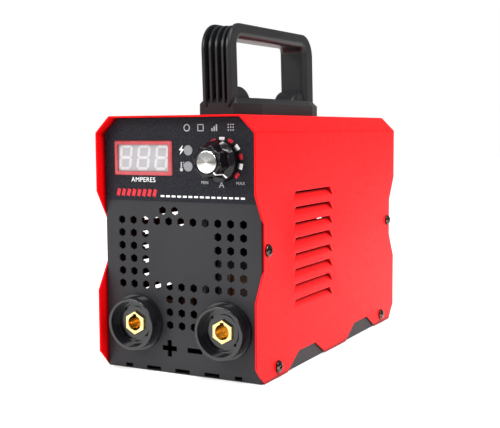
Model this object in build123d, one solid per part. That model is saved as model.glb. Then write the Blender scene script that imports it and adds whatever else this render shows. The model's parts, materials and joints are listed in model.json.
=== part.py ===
"""Small inverter stick welder: bent sheet casing, ribbed carrying handle, control panel with meter and dial,
two bayonet output sockets at the front, and the power electronics, fan, switch and cable inlet behind.

Millimetres. X is to the right seen from the front, -Y is the front, +Z is up.
The origin is the bottom centre of the casing.
"""
import os
from math import cos, pi, radians, sin, sqrt

from build123d import *

# Casing: driving dimensions
WIDTH = 110.0  # over the cover's sides
HEIGHT = 155.6  # to the cover's top
DEPTH = 234.0  # between the cover's two rims
BEVEL = 10.0  # 45 degree bevel between top and side
COVER_SHEET = 1.0
CHASSIS_SHEET = 1.2
PANEL_SETBACK = 8.5  # the front and rear panels stand this far inside the rims
FIT_GAP = 0.2  # air between chassis and cover

# Cover: side outline, all measured from a rim or from the floor
WAIST_DEPTH = 10.0  # how far the side's edge cuts in at the waist
WAIST_HEIGHTS = (48.7, 66.0, 93.0, 110.0)
CORNER_CUT = (9.7, 10.5)  # the cut corner at the floor: along Y, along Z
FOOT_CUT_CENTRE = 47.0  # trapezoid cut-outs in the side's bottom edge
FOOT_CUT_BOTTOM = 58.5
FOOT_CUT_TOP = 25.2
FOOT_CUT_HEIGHT = 10.0

# Louvres: 8 on each side, pressed inwards, hinged along the bottom
LOUVRE_COUNT = 8
LOUVRE_PITCH = 9.54
LOUVRE_TOP = 109.4  # the highest slit
LOUVRE_CENTRE = -37.4
LOUVRE_SLIT_LENGTH = 53.6
LOUVRE_FOOT_LENGTH = 62.6
LOUVRE_HEIGHT = 5.8
LOUVRE_DEPTH = 3.0
LOUVRE_GAP = 1.3  # clear height of the slit
LOUVRE_LEFT_SHIFT = -5.0  # the left side's louvres stand this much further forward
LOUVRE_LEFT_GAP = 2.1

# Chassis
FLOOR_FLANGE = (192.0, 14.0)  # length, height of the floor's upturned edges
SIDE_RETURN = (13.0, 17.0, 142.0)  # depth, lower and upper end of the panels' side returns
TOP_RETURN = (84.0, 11.0)  # width, depth of the panels' top returns
RELIEF_SLOTS = ((-38.5, 5.0), (-20.5, 10.2), (0.0, 10.2), (20.5, 10.2), (38.5, 5.0))  # middle, length

# Front panel
VENT_PITCH = 8.47  # between columns of hexagonal holes
VENT_ROW_PITCH = 7.89
VENT_TOP_ROW = 92.4
VENT_FLATS = 4.7
VENT_EXTRA_RISE = 6.4  # two more holes stand this far above the top row
SYMBOL_HEIGHT = 15.0  # plus and minus cut-outs
SYMBOL_SIZE = 10.3
SYMBOL_BAR = 3.1
SYMBOL_X = 8.9
LABEL_SHEET = 0.4
LABEL_BOTTOM = 104.5

# Controls
DISPLAY_CENTRE = (-25.6, 130.3)
DISPLAY_SIZE = (41.4, 20.8)
BEZEL_RIM = 2.3
BEZEL_PROUD = 1.2
BEZEL_SLEEVE = 0.9  # the sleeve behind the flange is this much smaller all round
LED_X = 6.1
LED_HEIGHTS = (135.1, 125.6)
LED_RADIUS = 3.0
KNOB_AXIS = (28.9, 129.0)
KNOB_LENGTH = 16.8
KNOB_SKIRT_RADIUS = 11.2
KNOB_BODY_RADIUS = 10.0
KNOB_CAP_RADIUS = 6.4
KNOB_CAP_PROUD = 0.8
KNOB_SHAFT_DEPTH = 11.5  # how far the shaft reaches into the knob
BUSHING_RADIUS = 3.5  # threaded neck of the potentiometer
SHAFT_RADIUS = 3.0

# Output sockets
SOCKET_X = 30.6
SOCKET_HEIGHT = 29.6
SOCKET_CUP_RADIUS = 15.9
SOCKET_CUP_WALL = 2.0
SOCKET_FLANGE_RADIUS = 17.2
SOCKET_BARREL_RADIUS = 13.0
CONTACT_FLATS = 13.0
CONTACT_BORE_RADIUS = 4.55
CONTACT_BORE_LENGTH = 22.0

# Handle: a D that leans forward a little over its boat-shaped foot plate
HANDLE_CENTRE = 0.5
HANDLE_HALF_LENGTH = 64.0
HANDLE_HALF_WIDTH = 10.5
HANDLE_TOP = 214.4  # at the front end of the bar
HANDLE_RISE = 1.0  # the rear end of the bar is this much higher
HANDLE_LEAN = 2.6  # the bar sits this much further forward than the foot
HANDLE_BAR = 9.7  # thickness of the top bar
HANDLE_REACH = 50.3  # half length of the hand opening
HANDLE_SHIFT = -1.0  # the opening's middle, from the D's middle
HANDLE_CORNER = 16.5
HANDLE_INNER_ROUND = 4.5  # round edge of the hand opening
HANDLE_OUTER_ROUND = 1.6
HANDLE_RIB_PLACES = (-9.2, -4.5, 0.0, 4.5, 9.2)
HANDLE_RIBS = (2.6, 1.4, 1.4, 1.4, 2.6)  # thickness of each plate
HANDLE_GROOVE = 6.6  # depth of the grooves between the plates
HANDLE_RIB_DROP = 1.2  # the three inner plates stand this much lower
GUSSET_RADIUS = 15.0
GUSSET_RISE = 7.5  # height over the foot plate
GUSSET_HALF_WIDTH = 8.5
FOOT_HALF_LENGTH = 63.0
FOOT_HALF_WIDTH = 20.0
FOOT_TIP_HALF_WIDTH = 14.0
FOOT_SHOULDER = 23.0  # length of each sloping shoulder
FOOT_SIDE = 8.0  # height of the foot plate's upright side
FOOT_HEIGHT = 11.7

# Fasteners
M4_RADIUS = 2.0
M3_RADIUS = 1.5
CLEARANCE = 0.1
COVER_SCREW_PLACES = ((-102.0, 77.5), (-89.0, 6.5), (89.0, 6.5), (102.0, 77.5))
HANDLE_SCREW_Y = 56.0

# Rear
FAN_SIZE = 80.0
FAN_THICK = 25.0
FAN_HEIGHT = 100.0
FAN_HOLE_PITCH = 71.5
FAN_DUCT_RADIUS = 38.0
FAN_HUB_RADIUS = 17.0
FAN_PIN_RADIUS = 1.5
FAN_VENT_FLATS = 6.0  # hexagonal holes in the rear panel
SWITCH_CENTRE = (-27.0, 32.0)
SWITCH_BODY = (22.0, 30.0)  # width, height of the panel cut-out
ROCKER_TRAVEL = 20.0
ROCKER_PIVOT_Y = 107.0
GLAND_CENTRE = (27.0, 32.0)
GLAND_BORE_RADIUS = 5.0
GLAND_THREAD_RADIUS = 10.0
GLAND_FLATS = 24.0
EARTH_HEIGHT = 16.0
EARTH_RADIUS = 2.5
EARTH_FLATS = 8.0

# Board and the parts on it
BOARD_X = 47.0
BOARD_Y = (-78.0, 78.0)
BOARD_BOTTOM = 11.2
BOARD_THICK = 1.6
STANDOFF_PLACES = [(x, y) for x in (-42.0, 42.0) for y in (-73.0, 0.0, 73.0)]
SPACER_PLACES = [(x, z) for x in (-48.5, 48.5) for z in (113.0, 141.0)]
SPACER_FLATS = 5.5
HEADER_HEIGHT = 6.0
BUSBAR_THICK = 2.0
HEATSINK_BASE = (14.0, 19.0)  # inner and outer face of the upright base plate
HEATSINK_TIP = 43.0  # where the fins end
HEATSINK_HEIGHTS = (15.0, 62.0)  # lowest fin, top
TRANSFORMER = (20.0, -42.0)
TRANSFORMER_CORE = (50.0, 26.0, 52.0)
TRANSFORMER_LEG = 9.5
TRANSFORMER_MIDDLE = 14.0  # width of the core's middle leg
TRANSFORMER_LIFT = 1.5
CHOKE = (-27.0, -46.0, 33.0)
CHOKE_RADII = (12.0, 4.2, 6.0)  # ring, its thickness, the winding over it
CAPACITOR_PLACES = ((-24.0, 57.0), (3.5, 57.0))
CAPACITOR_SIZE = (13.0, 42.0)  # radius, height
BRIDGE_CENTRE = (32.0, 56.0)
DRIVER_BOARD_Y = -25.0

# Worked out from the above
HALF_WIDTH = WIDTH / 2
RIM = DEPTH / 2
PANEL_FRONT = -RIM + PANEL_SETBACK
PANEL_BACK = PANEL_FRONT + CHASSIS_SHEET
REAR_FRONT = -PANEL_BACK
REAR_BACK = -PANEL_FRONT
LABEL_FRONT = PANEL_FRONT - LABEL_SHEET
CHASSIS_HALF = HALF_WIDTH - COVER_SHEET - FIT_GAP
BOARD_TOP = BOARD_BOTTOM + BOARD_THICK
CONTROL_BOARD_Y = -98.6
SOCKET_RIM = -RIM - 1.7
SOCKET_FLOOR = PANEL_FRONT - 2.6
CONTACT_FACE = -114.0
CONTACT_BACK = -81.0
KNOB_BACK = LABEL_FRONT - 0.8
KNOB_TIP = KNOB_BACK - KNOB_LENGTH - KNOB_CAP_PROUD  # the foremost point; the gland's end matches it


# Shapes used by several parts

def block(x0, x1, y0, y1, z0, z1):
    """A box between two corners."""
    return Pos((x0 + x1) / 2, (y0 + y1) / 2, (z0 + z1) / 2) * Box(x1 - x0, y1 - y0, z1 - z0)


def rod_x(radius, x0, x1, y, z):
    return Pos((x0 + x1) / 2, y, z) * Rot(0, 90, 0) * Cylinder(radius, x1 - x0)


def rod_y(radius, y0, y1, x=0.0, z=0.0):
    return Pos(x, (y0 + y1) / 2, z) * Rot(90, 0, 0) * Cylinder(radius, y1 - y0)


def rod_z(radius, z0, z1, x=0.0, y=0.0):
    return Pos(x, y, (z0 + z1) / 2) * Cylinder(radius, z1 - z0)


def rounded_outline(points, radius):
    """A closed outline through the points, every corner rounded alike."""
    return make_face(FilletPolyline(*points, radius=radius, close=True))


def along_y(sketch, y0, y1):
    """A sketch drawn in X and Z, made solid from y0 to y1."""
    return extrude(Plane.XZ.offset(-y0) * sketch, amount=y1 - y0, dir=(0, 1, 0))


def along_x(sketch, x0, x1):
    """A sketch drawn in Y and Z, made solid from x0 to x1."""
    return extrude(Plane.YZ.offset(x0) * sketch, amount=x1 - x0, dir=(1, 0, 0))


def along_z(sketch, z0, z1):
    """A sketch drawn in X and Y, made solid from z0 to z1."""
    return extrude(Pos(0, 0, z0) * sketch, amount=z1 - z0, dir=(0, 0, 1))


def hexagon(flats, turn=90.0):
    """A hexagon by its width across flats, with a corner at the top."""
    return RegularPolygon(flats / sqrt(3), 6, rotation=turn)


def hex_y(flats, y0, y1, x, z, turn=90.0):
    return along_y(Pos(x, z) * hexagon(flats, turn), y0, y1)


def polyhedron(points, faces):
    """A solid from its corners and the flat faces between them."""
    return Solid(Shell([Face(Wire.make_polygon([points[i] for i in face])) for face in faces]))


def mirrored(piece, plane=Plane.YZ):
    """The piece and its mirror image, as two solids."""
    return [piece, mirror(piece, about=plane)]


def group(pieces):
    """Like pieces that share one node."""
    return Compound(children=[solid for piece in pieces for solid in piece.solids()])


def pan_screw(head_radius, head_height, shank_radius, length, recess=True):
    """A pan-head screw along Z, its head above the XY plane, with a cross recess."""
    edge = head_height * 0.62  # height of the head's domed part
    outline = [(0, 0), (head_radius, 0), (head_radius, head_height - edge)]
    crown = RadiusArc(outline[-1], (0, head_height), -(head_radius ** 2 + edge ** 2) / (2 * edge))
    profile = make_face([Polyline(*outline), crown, Line((0, head_height), (0, 0))])
    screw = revolve(Plane.XZ * profile, Axis.Z) + rod_z(shank_radius, -length, 0)
    if recess:
        slot = Box(head_radius * 1.1, head_radius * 0.26, head_height)
        screw -= Pos(0, 0, head_height) * (slot + Rot(0, 0, 90) * slot)
    return screw


def tube_along(points, radii, radius):
    """A round lead through the points, with an arc of each radius at each corner between."""
    path = FilletPolyline(*points, radius=radii)
    return sweep(Plane(path ^ 0) * Circle(radius), path)


# Casing

def casing_outline(inset, floor):
    """The casing's section in X and Z, set in by a distance, from the given floor height."""
    half, top = HALF_WIDTH - inset, HEIGHT - inset
    bevel = BEVEL - inset * (2 - sqrt(2))
    return [(-half, floor), (-half, top - bevel), (-half + bevel, top),
            (half - bevel, top), (half, top - bevel), (half, floor)]


def casing_section(inset, floor, bend):
    """The section as a face: the four upper bends rounded, the bottom square."""
    outline = casing_outline(inset, floor)
    path = FilletPolyline(*outline, radius=bend)
    return make_face([*path.edges(), Line(outline[-1], outline[0])])


def side_outline():
    """The cover's side in Y and Z: waisted front and rear edges, cut corners, foot cut-outs."""
    cut_y, cut_z = CORNER_CUT
    low, waist_low, waist_high, high = WAIST_HEIGHTS
    front = [(-RIM, HEIGHT + 1), (-RIM, high), (-RIM + WAIST_DEPTH, waist_high),
             (-RIM + WAIST_DEPTH, waist_low), (-RIM, low), (-RIM, cut_z), (-RIM + cut_y, 0)]
    near, far = FOOT_CUT_CENTRE - FOOT_CUT_BOTTOM / 2, FOOT_CUT_CENTRE + FOOT_CUT_BOTTOM / 2
    near_top, far_top = FOOT_CUT_CENTRE - FOOT_CUT_TOP / 2, FOOT_CUT_CENTRE + FOOT_CUT_TOP / 2
    foot = [(-far, 0), (-far_top, FOOT_CUT_HEIGHT), (-near_top, FOOT_CUT_HEIGHT), (-near, 0)]
    half = front + foot
    return half + [(-y, z) for y, z in reversed(half)]


def louvre(slit, centre=LOUVRE_CENTRE, gap=LOUVRE_GAP):
    """One louvre of the right side: the hollow pressed into the sheet, and the metal round it."""
    foot, lip = slit - LOUVRE_HEIGHT, LOUVRE_FOOT_LENGTH / 2
    edge, inner = LOUVRE_SLIT_LENGTH / 2, LOUVRE_SLIT_LENGTH / 2 - 1.0
    outside, inside = HALF_WIDTH, HALF_WIDTH - LOUVRE_DEPTH
    corners = [(outside, -lip, foot), (outside, lip, foot), (outside, -edge, slit), (outside, edge, slit),
               (inside, -inner, slit), (inside, inner, slit)]
    faces = [(0, 1, 3, 2), (2, 3, 5, 4), (0, 4, 5, 1), (0, 2, 4), (1, 5, 3)]
    hollow = Pos(0, centre, 0) * polyhedron(corners, faces)
    metal = Pos(-COVER_SHEET, 0, 0) * hollow - hollow
    slot = block(inside - 5, outside - COVER_SHEET, centre - edge, centre + edge, slit - gap, slit + 1)
    return hollow, metal - slot


def make_cover():
    shell = along_y(casing_section(0, 0, 2.0), -RIM, RIM)
    shell -= along_y(casing_section(COVER_SHEET, -1, 1.0), -RIM - 1, RIM + 1)
    shell &= along_x(make_face(Polyline(*side_outline(), close=True)), -WIDTH, WIDTH)
    for row in range(LOUVRE_COUNT):
        slit = LOUVRE_TOP - row * LOUVRE_PITCH
        cut, add = louvre(slit)
        shell = shell - cut + add
        cut, add = louvre(slit, LOUVRE_CENTRE + LOUVRE_LEFT_SHIFT, LOUVRE_LEFT_GAP)
        shell = shell - mirrored(cut)[1] + mirrored(add)[1]
    for y, z in COVER_SCREW_PLACES:
        shell -= rod_x(M4_RADIUS + CLEARANCE, -WIDTH, WIDTH, y, z)
    for y in (HANDLE_CENTRE - HANDLE_SCREW_Y, HANDLE_CENTRE + HANDLE_SCREW_Y):
        shell -= rod_z(M4_RADIUS + CLEARANCE, HEIGHT - 5, HEIGHT + 5, 0, y)
    return shell


def front_openings():
    """Everything cut through the front panel, drawn in X and Z."""
    full, sides, middle = range(-5, 6), (-5, -4, -3, 3, 4, 5), (-1, 0, 1)
    rows = [full] + 4 * [sides] + [full] + 3 * [middle]
    places = [(column * VENT_PITCH, VENT_TOP_ROW - index * VENT_ROW_PITCH)
              for index, columns in enumerate(rows) for column in columns]
    places += [(column * VENT_PITCH, VENT_TOP_ROW + VENT_EXTRA_RISE) for column in (-1.5, -0.5)]
    holes = [Pos(x, z) * hexagon(VENT_FLATS) for x, z in places]
    bar = Rectangle(SYMBOL_SIZE, SYMBOL_BAR)
    holes.append(Pos(-SYMBOL_X, SYMBOL_HEIGHT) * (bar + Rot(0, 0, 90) * bar))
    holes.append(Pos(SYMBOL_X, SYMBOL_HEIGHT) * bar)
    for x in (-SOCKET_X, SOCKET_X):
        holes.append(Pos(x, SOCKET_HEIGHT) * Circle(SOCKET_BARREL_RADIUS + CLEARANCE))
    return holes + control_openings()


def control_openings():
    """Cut through both the panel and the printed label, drawn in X and Z."""
    width, height = DISPLAY_SIZE
    around = 2 * (BEZEL_SLEEVE - CLEARANCE)
    window = Pos(*DISPLAY_CENTRE) * Rectangle(width - around, height - around)
    leds = [Pos(LED_X, z) * Circle(LED_RADIUS + CLEARANCE) for z in LED_HEIGHTS]
    return [window, *leds, Pos(*KNOB_AXIS) * Circle(BUSHING_RADIUS + CLEARANCE)]


def rear_openings():
    """Everything cut through the rear panel, drawn in X and Z."""
    reach = int(FAN_DUCT_RADIUS / VENT_PITCH) + 1
    holes = []
    for row in range(-reach, reach + 1):
        for column in range(-reach - 1, reach + 1):
            x = (column + 0.5 * (row % 2)) * VENT_PITCH
            z = row * VENT_PITCH * cos(radians(30))
            if x * x + z * z < (FAN_DUCT_RADIUS - FAN_VENT_FLATS / 2) ** 2:
                holes.append(Pos(x, FAN_HEIGHT + z) * hexagon(FAN_VENT_FLATS))
    holes += [Pos(x, z) * Circle(M4_RADIUS + CLEARANCE) for x, z in fan_corners()]
    width, height = SWITCH_BODY
    holes.append(Pos(*SWITCH_CENTRE) * Rectangle(width + 2 * CLEARANCE, height + 2 * CLEARANCE))
    holes.append(Pos(*GLAND_CENTRE) * Circle(GLAND_THREAD_RADIUS + CLEARANCE))
    holes.append(Pos(0, EARTH_HEIGHT) * Circle(EARTH_RADIUS + CLEARANCE))
    return holes


def make_panel(openings, y0, y1):
    """One upright end panel with its openings cut through."""
    panel = along_y(casing_section(COVER_SHEET + FIT_GAP, 0, 1.0), y0, y1)
    return panel - [along_y(hole, y0 - 1, y1 + 1) for hole in openings]


def make_chassis():
    """Two panels and a floor bent from one sheet, with flanges for the cover's screws."""
    sheet, half = CHASSIS_SHEET, CHASSIS_HALF
    chassis = make_panel(front_openings(), PANEL_FRONT, PANEL_BACK)
    chassis += make_panel(rear_openings(), REAR_FRONT, REAR_BACK)
    chassis += block(-half, half, PANEL_FRONT, REAR_BACK, 0, sheet)
    long, high = FLOOR_FLANGE
    deep, low, top = SIDE_RETURN
    flanges = [block(half - sheet, half, -long / 2, long / 2, 0, high),
               block(half - sheet, half, PANEL_FRONT, PANEL_FRONT + deep, low, top),
               block(half - sheet, half, REAR_BACK - deep, REAR_BACK, low, top)]
    for flange in flanges:
        chassis += mirrored(flange)
    wide, deep = TOP_RETURN
    top = HEIGHT - COVER_SHEET - FIT_GAP
    for y in (PANEL_FRONT, REAR_BACK - deep):
        chassis += block(-wide / 2, wide / 2, y, y + deep, top - sheet, top)
    for x, length in RELIEF_SLOTS:
        chassis -= block(x - length / 2, x + length / 2, PANEL_FRONT - 1, PANEL_BACK + 6, 0.45, 2.8)
    for y, z in COVER_SCREW_PLACES:
        chassis -= rod_x(M4_RADIUS + CLEARANCE / 2, -WIDTH, WIDTH, y, z)
    for x, y in STANDOFF_PLACES:
        chassis -= rod_z(M3_RADIUS + CLEARANCE, -1, sheet + 1, x, y)
    return chassis


def make_cover_screws():
    screw = pan_screw(3.6, 2.5, M4_RADIUS, 7.0)
    right = [Pos(HALF_WIDTH, y, z) * Rot(0, 90, 0) * screw for y, z in COVER_SCREW_PLACES]
    return group([side for piece in right for side in mirrored(piece)])


# Handle

def handle_frame(half, low, top, rise):
    """Four corners of the D in Y and Z, sheared forward by its lean, its rear end raised."""
    def at(y, z):
        lift = rise if y > 0 and z == top else 0.0
        return y - HANDLE_LEAN * (z - HEIGHT) / (HANDLE_TOP - HEIGHT), z + lift
    return [at(-half, low), at(-half, top), at(half, top), at(half, low)]


def handle_outline(inset):
    """The D's outer outline, set in by a distance and left open below the foot's top."""
    corners = handle_frame(HANDLE_HALF_LENGTH - inset, HEIGHT, HANDLE_TOP - inset, HANDLE_RISE)
    path = FilletPolyline(*corners, radius=HANDLE_CORNER - inset)
    return Pos(HANDLE_CENTRE, 0) * make_face([*path.edges(), Line(corners[-1], corners[0])])


def handle_block():
    """The D before its grooves: a solid bar and legs, well rounded towards the hand."""
    floor, roof = HEIGHT + FOOT_SIDE, HANDLE_TOP - HANDLE_BAR
    corners = handle_frame(HANDLE_REACH, floor, roof, HANDLE_RISE)
    opening = Pos(HANDLE_CENTRE + HANDLE_SHIFT, 0) * rounded_outline(corners, 4.0)
    body = along_x(handle_outline(0) - opening, -HANDLE_HALF_WIDTH, HANDLE_HALF_WIDTH)
    for side in (-HANDLE_HALF_WIDTH, HANDLE_HALF_WIDTH):
        outer = body.faces().filter_by_position(Axis.X, side, side)[0].outer_wire()
        upper = outer.edges().filter_by_position(Axis.Z, HEIGHT + 1, HANDLE_TOP + 9)
        body = fillet(upper, HANDLE_OUTER_ROUND)
        inner = body.faces().filter_by_position(Axis.X, side, side)[0].inner_wires()[0]
        body = fillet(inner.edges(), HANDLE_INNER_ROUND)
    return body


def handle_grip():
    """The block with its grooves cut between the plates, rounded off below like a U."""
    grip = handle_block()
    outside = handle_outline(-5.0)
    edges = [(x - rib / 2, x + rib / 2) for x, rib in zip(HANDLE_RIB_PLACES, HANDLE_RIBS)]
    for (_, start), (end, _) in zip(edges, edges[1:]):
        grip -= along_x(outside - handle_outline(HANDLE_GROOVE), start, end)
    grip -= along_x(outside - handle_outline(HANDLE_RIB_DROP), edges[0][1], edges[-1][0])
    half, low, high = HANDLE_HALF_WIDTH, HEIGHT + 3.2, HANDLE_TOP + 5
    end = FilletPolyline((-half, high), (-half, low), (half, low), (half, high), radius=half - 1.5)
    return grip & along_y(make_face(end.edges() + [Line((half, high), (-half, high))]), -RIM, RIM)


def foot_plate():
    """The boat-shaped plate under the grip, with sloping shoulders."""
    shoulder = FOOT_HALF_LENGTH - FOOT_SHOULDER
    half = [(FOOT_TIP_HALF_WIDTH, -FOOT_HALF_LENGTH), (FOOT_HALF_WIDTH, -shoulder),
            (FOOT_HALF_WIDTH, shoulder), (FOOT_TIP_HALF_WIDTH, FOOT_HALF_LENGTH)]
    outline = Pos(0, HANDLE_CENTRE) * rounded_outline(half + [(-x, y) for x, y in reversed(half)], 4.5)
    plate = along_z(outline, HEIGHT, HEIGHT + FOOT_HEIGHT)
    return chamfer(plate.edges().group_by(Axis.Z)[-1], FOOT_HEIGHT - FOOT_SIDE)


def handle_gusset():
    """The round web between the front leg and the foot plate, over the screw."""
    top = HEIGHT + FOOT_HEIGHT
    y = HANDLE_CENTRE - HANDLE_REACH + 4.4
    web = rod_x(GUSSET_RADIUS, -GUSSET_HALF_WIDTH, GUSSET_HALF_WIDTH, y, top + GUSSET_RISE - GUSSET_RADIUS)
    web = fillet(web.edges().filter_by(GeomType.CIRCLE), 3.0)
    return web & block(-WIDTH, WIDTH, y - 10.0, y + GUSSET_RADIUS, HEIGHT + 1, HANDLE_TOP)


def make_handle():
    handle = handle_grip() + foot_plate()
    web = handle_gusset()
    handle = handle + web + mirror(web, about=Plane.XZ.offset(-HANDLE_CENTRE))
    for y in (HANDLE_CENTRE - HANDLE_SCREW_Y, HANDLE_CENTRE + HANDLE_SCREW_Y):
        handle -= rod_z(M4_RADIUS + CLEARANCE / 2, HEIGHT - 1, HEIGHT + 13, 0, y)
    return handle


def make_handle_screws():
    screw = pan_screw(3.8, 2.6, M4_RADIUS, 12.5)
    under = HEIGHT - COVER_SHEET
    return group([Pos(0, HANDLE_CENTRE + y, under) * Rot(180, 0, 0) * screw
                  for y in (-HANDLE_SCREW_Y, HANDLE_SCREW_Y)])


# Controls

def make_control_label():
    face = casing_section(COVER_SHEET + FIT_GAP + 0.4, LABEL_BOTTOM, 1.0)
    label = along_y(face, LABEL_FRONT, PANEL_FRONT)
    return label - [along_y(hole, LABEL_FRONT - 1, PANEL_FRONT + 1) for hole in control_openings()]


def make_display_bezel():
    width, height = DISPLAY_SIZE
    window = Pos(*DISPLAY_CENTRE) * Rectangle(width - 2 * BEZEL_RIM, height - 2 * BEZEL_RIM)
    flange = Pos(*DISPLAY_CENTRE) * RectangleRounded(width, height, 0.9) - window
    sleeve = Pos(*DISPLAY_CENTRE) * Rectangle(width - 2 * BEZEL_SLEEVE, height - 2 * BEZEL_SLEEVE) - window
    frame = along_y(flange, LABEL_FRONT - BEZEL_PROUD, LABEL_FRONT)
    frame = chamfer(frame.faces().sort_by(Axis.Y)[0].outer_wire().edges(), 0.7)
    return frame + along_y(sleeve, LABEL_FRONT, PANEL_BACK + 3)


def make_display_module():
    width, height = DISPLAY_SIZE
    x, z = DISPLAY_CENTRE
    body = along_y(Pos(x, z) * Rectangle(width - 2 * BEZEL_RIM - 0.2, height - 2 * BEZEL_RIM - 0.2),
                   PANEL_FRONT - 0.2, CONTROL_BOARD_Y - 1.5)
    pins = [rod_y(0.35, CONTROL_BOARD_Y - 1.5, CONTROL_BOARD_Y, x + step * 2.54, z + row)
            for step in (-5, -3, -1, 1, 3, 5) for row in (-6.5, 6.5)]
    return body + pins


def make_led(height):
    body = rod_y(LED_RADIUS, LABEL_FRONT - 0.3, PANEL_BACK + 3.5, LED_X, height)
    legs = [rod_y(0.3, PANEL_BACK + 3.5, CONTROL_BOARD_Y, LED_X + x, height) for x in (-1.27, 1.27)]
    return body + legs


def make_control_board():
    """The board behind the panel, with its cable header and one driver chip."""
    front, back = CONTROL_BOARD_Y, CONTROL_BOARD_Y + BOARD_THICK
    board = block(-51.0, 51.0, front, back, 108.5, 144.5)
    board += block(-8, 8, back, back + HEADER_HEIGHT, 112, 118)
    board += block(-36, -18, back, back + 2.5, 124, 134)
    for x, z in SPACER_PLACES:
        board -= rod_y(M3_RADIUS + CLEARANCE, front - 1, back + 1, x, z)
    return board


def make_control_board_spacers():
    """Hexagon spacers, threaded from behind for the screws."""
    pieces = []
    for x, z in SPACER_PLACES:
        thread = rod_y(M3_RADIUS + 0.05, CONTROL_BOARD_Y - 6, CONTROL_BOARD_Y, x, z)
        pieces.append(hex_y(SPACER_FLATS, PANEL_BACK, CONTROL_BOARD_Y, x, z) - thread)
    return group(pieces)


def make_control_board_screws():
    screw = pan_screw(2.8, 2.0, M3_RADIUS, 6.5)
    back = CONTROL_BOARD_Y + BOARD_THICK
    return group([Pos(x, back, z) * Rot(-90, 0, 0) * screw for x, z in SPACER_PLACES])


def make_potentiometer_body():
    x, z = KNOB_AXIS
    pins_start = CONTROL_BOARD_Y - 1.2
    body = rod_y(8.3, PANEL_BACK + 0.3, pins_start, x, z)
    body += rod_y(BUSHING_RADIUS, PANEL_FRONT - 3.5, PANEL_BACK + 0.3, x, z)
    body += [rod_y(0.4, pins_start, CONTROL_BOARD_Y, x + step, z - 6.5) for step in (-2.5, 0, 2.5)]
    return body - rod_y(SHAFT_RADIUS + 0.05, PANEL_FRONT - 4, PANEL_BACK + 4, x, z)


def make_potentiometer_nut():
    x, z = KNOB_AXIS
    washer = rod_y(6.0, LABEL_FRONT - 0.5, LABEL_FRONT, x, z)
    nut = hex_y(10.0, LABEL_FRONT - 2.5, LABEL_FRONT - 0.5, x, z)
    return nut + washer - rod_y(BUSHING_RADIUS + 0.05, LABEL_FRONT - 3, LABEL_FRONT + 1, x, z)


def make_potentiometer_shaft():
    x, z = KNOB_AXIS
    return rod_y(SHAFT_RADIUS, KNOB_BACK - KNOB_SHAFT_DEPTH, PANEL_BACK + 3.7, x, z)


def knob_section(radius, depth, lobes=8):
    """The knob's fluted section: a circle whose edge dips by the depth between its lobes."""
    count = lobes * 2
    points = []
    for step in range(count):
        angle = 2 * pi * step / count
        reach = radius - (depth if step % 2 else 0.0)
        points.append((reach * cos(angle), reach * sin(angle)))
    return make_face(Spline(*points, periodic=True))


def make_knob():
    """A nearly round skirt at the panel, then a body with eight finger hollows."""
    stations = [(0.0, KNOB_SKIRT_RADIUS, 0.2), (0.22, KNOB_SKIRT_RADIUS - 0.1, 0.2),
                (0.3, KNOB_BODY_RADIUS + 0.2, 1.2), (1.0, KNOB_BODY_RADIUS - 0.2, 1.6)]
    sections = [Pos(0, 0, share * KNOB_LENGTH) * knob_section(radius, depth) for share, radius, depth in stations]
    knob = loft(sections, ruled=True)
    knob -= rod_z(7.6, -1, 3.0) + rod_z(SHAFT_RADIUS, 0, KNOB_SHAFT_DEPTH)
    knob -= rod_z(KNOB_CAP_RADIUS + 0.05, KNOB_LENGTH - 0.6, KNOB_LENGTH + 1)
    x, z = KNOB_AXIS
    return Pos(x, KNOB_BACK, z) * Rot(90, 0, 0) * knob


def make_knob_cap():
    x, z = KNOB_AXIS
    front = KNOB_BACK - KNOB_LENGTH
    cap = rod_y(KNOB_CAP_RADIUS, front - KNOB_CAP_PROUD, front + 0.6, x, z)
    return chamfer(cap.edges().group_by(Axis.Y)[0], 0.3)


# Output sockets, drawn at X = 0

def make_socket_body():
    """The moulded cup, its stepped inside wall, the flange and the barrel behind the panel."""
    rim, floor, z = SOCKET_RIM, SOCKET_FLOOR, SOCKET_HEIGHT
    inner = SOCKET_CUP_RADIUS - SOCKET_CUP_WALL
    body = rod_y(SOCKET_CUP_RADIUS, rim, floor, 0, z)
    body = fillet(body.edges().group_by(Axis.Y)[0], 0.7)
    cup = rod_y(inner, rim - 1, floor - 1.8, 0, z) + rod_y(inner - 2.2, rim, floor, 0, z)
    body = body - cup + rod_y(SOCKET_FLANGE_RADIUS, floor, PANEL_FRONT, 0, z)
    body += rod_y(10.0, floor - 1.2, floor, 0, z)
    body += rod_y(SOCKET_BARREL_RADIUS, PANEL_FRONT, -90.0, 0, z)
    body -= hex_y(CONTACT_FLATS + 0.1, rim, -80, 0, z)
    for angle in (45, 135, 225, 315):
        x, up = (inner - 3.2) * cos(radians(angle)), (inner - 3.2) * sin(radians(angle))
        body -= rod_y(0.95, floor - 2.5, floor + 1.2, x, z + up)
    return body


def make_socket_contact():
    z = SOCKET_HEIGHT
    contact = hex_y(CONTACT_FLATS, CONTACT_FACE, CONTACT_BACK, 0, z)
    contact = chamfer(contact.faces().sort_by(Axis.Y)[0].edges(), 0.35)
    contact -= rod_y(CONTACT_BORE_RADIUS, CONTACT_FACE - 1, CONTACT_FACE + CONTACT_BORE_LENGTH, 0, z)
    contact -= block(-1.3, 1.3, CONTACT_FACE - 1, CONTACT_FACE + 9, z, z + CONTACT_BORE_RADIUS + 1.0)
    return contact - rod_y(4.05, CONTACT_BACK - 10, CONTACT_BACK + 1, 0, z)


def make_socket_nut():
    z = SOCKET_HEIGHT
    nut = hex_y(32.0, PANEL_BACK, PANEL_BACK + 6, 0, z)
    return nut - rod_y(SOCKET_BARREL_RADIUS + 0.05, PANEL_BACK - 1, PANEL_BACK + 7, 0, z)


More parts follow.
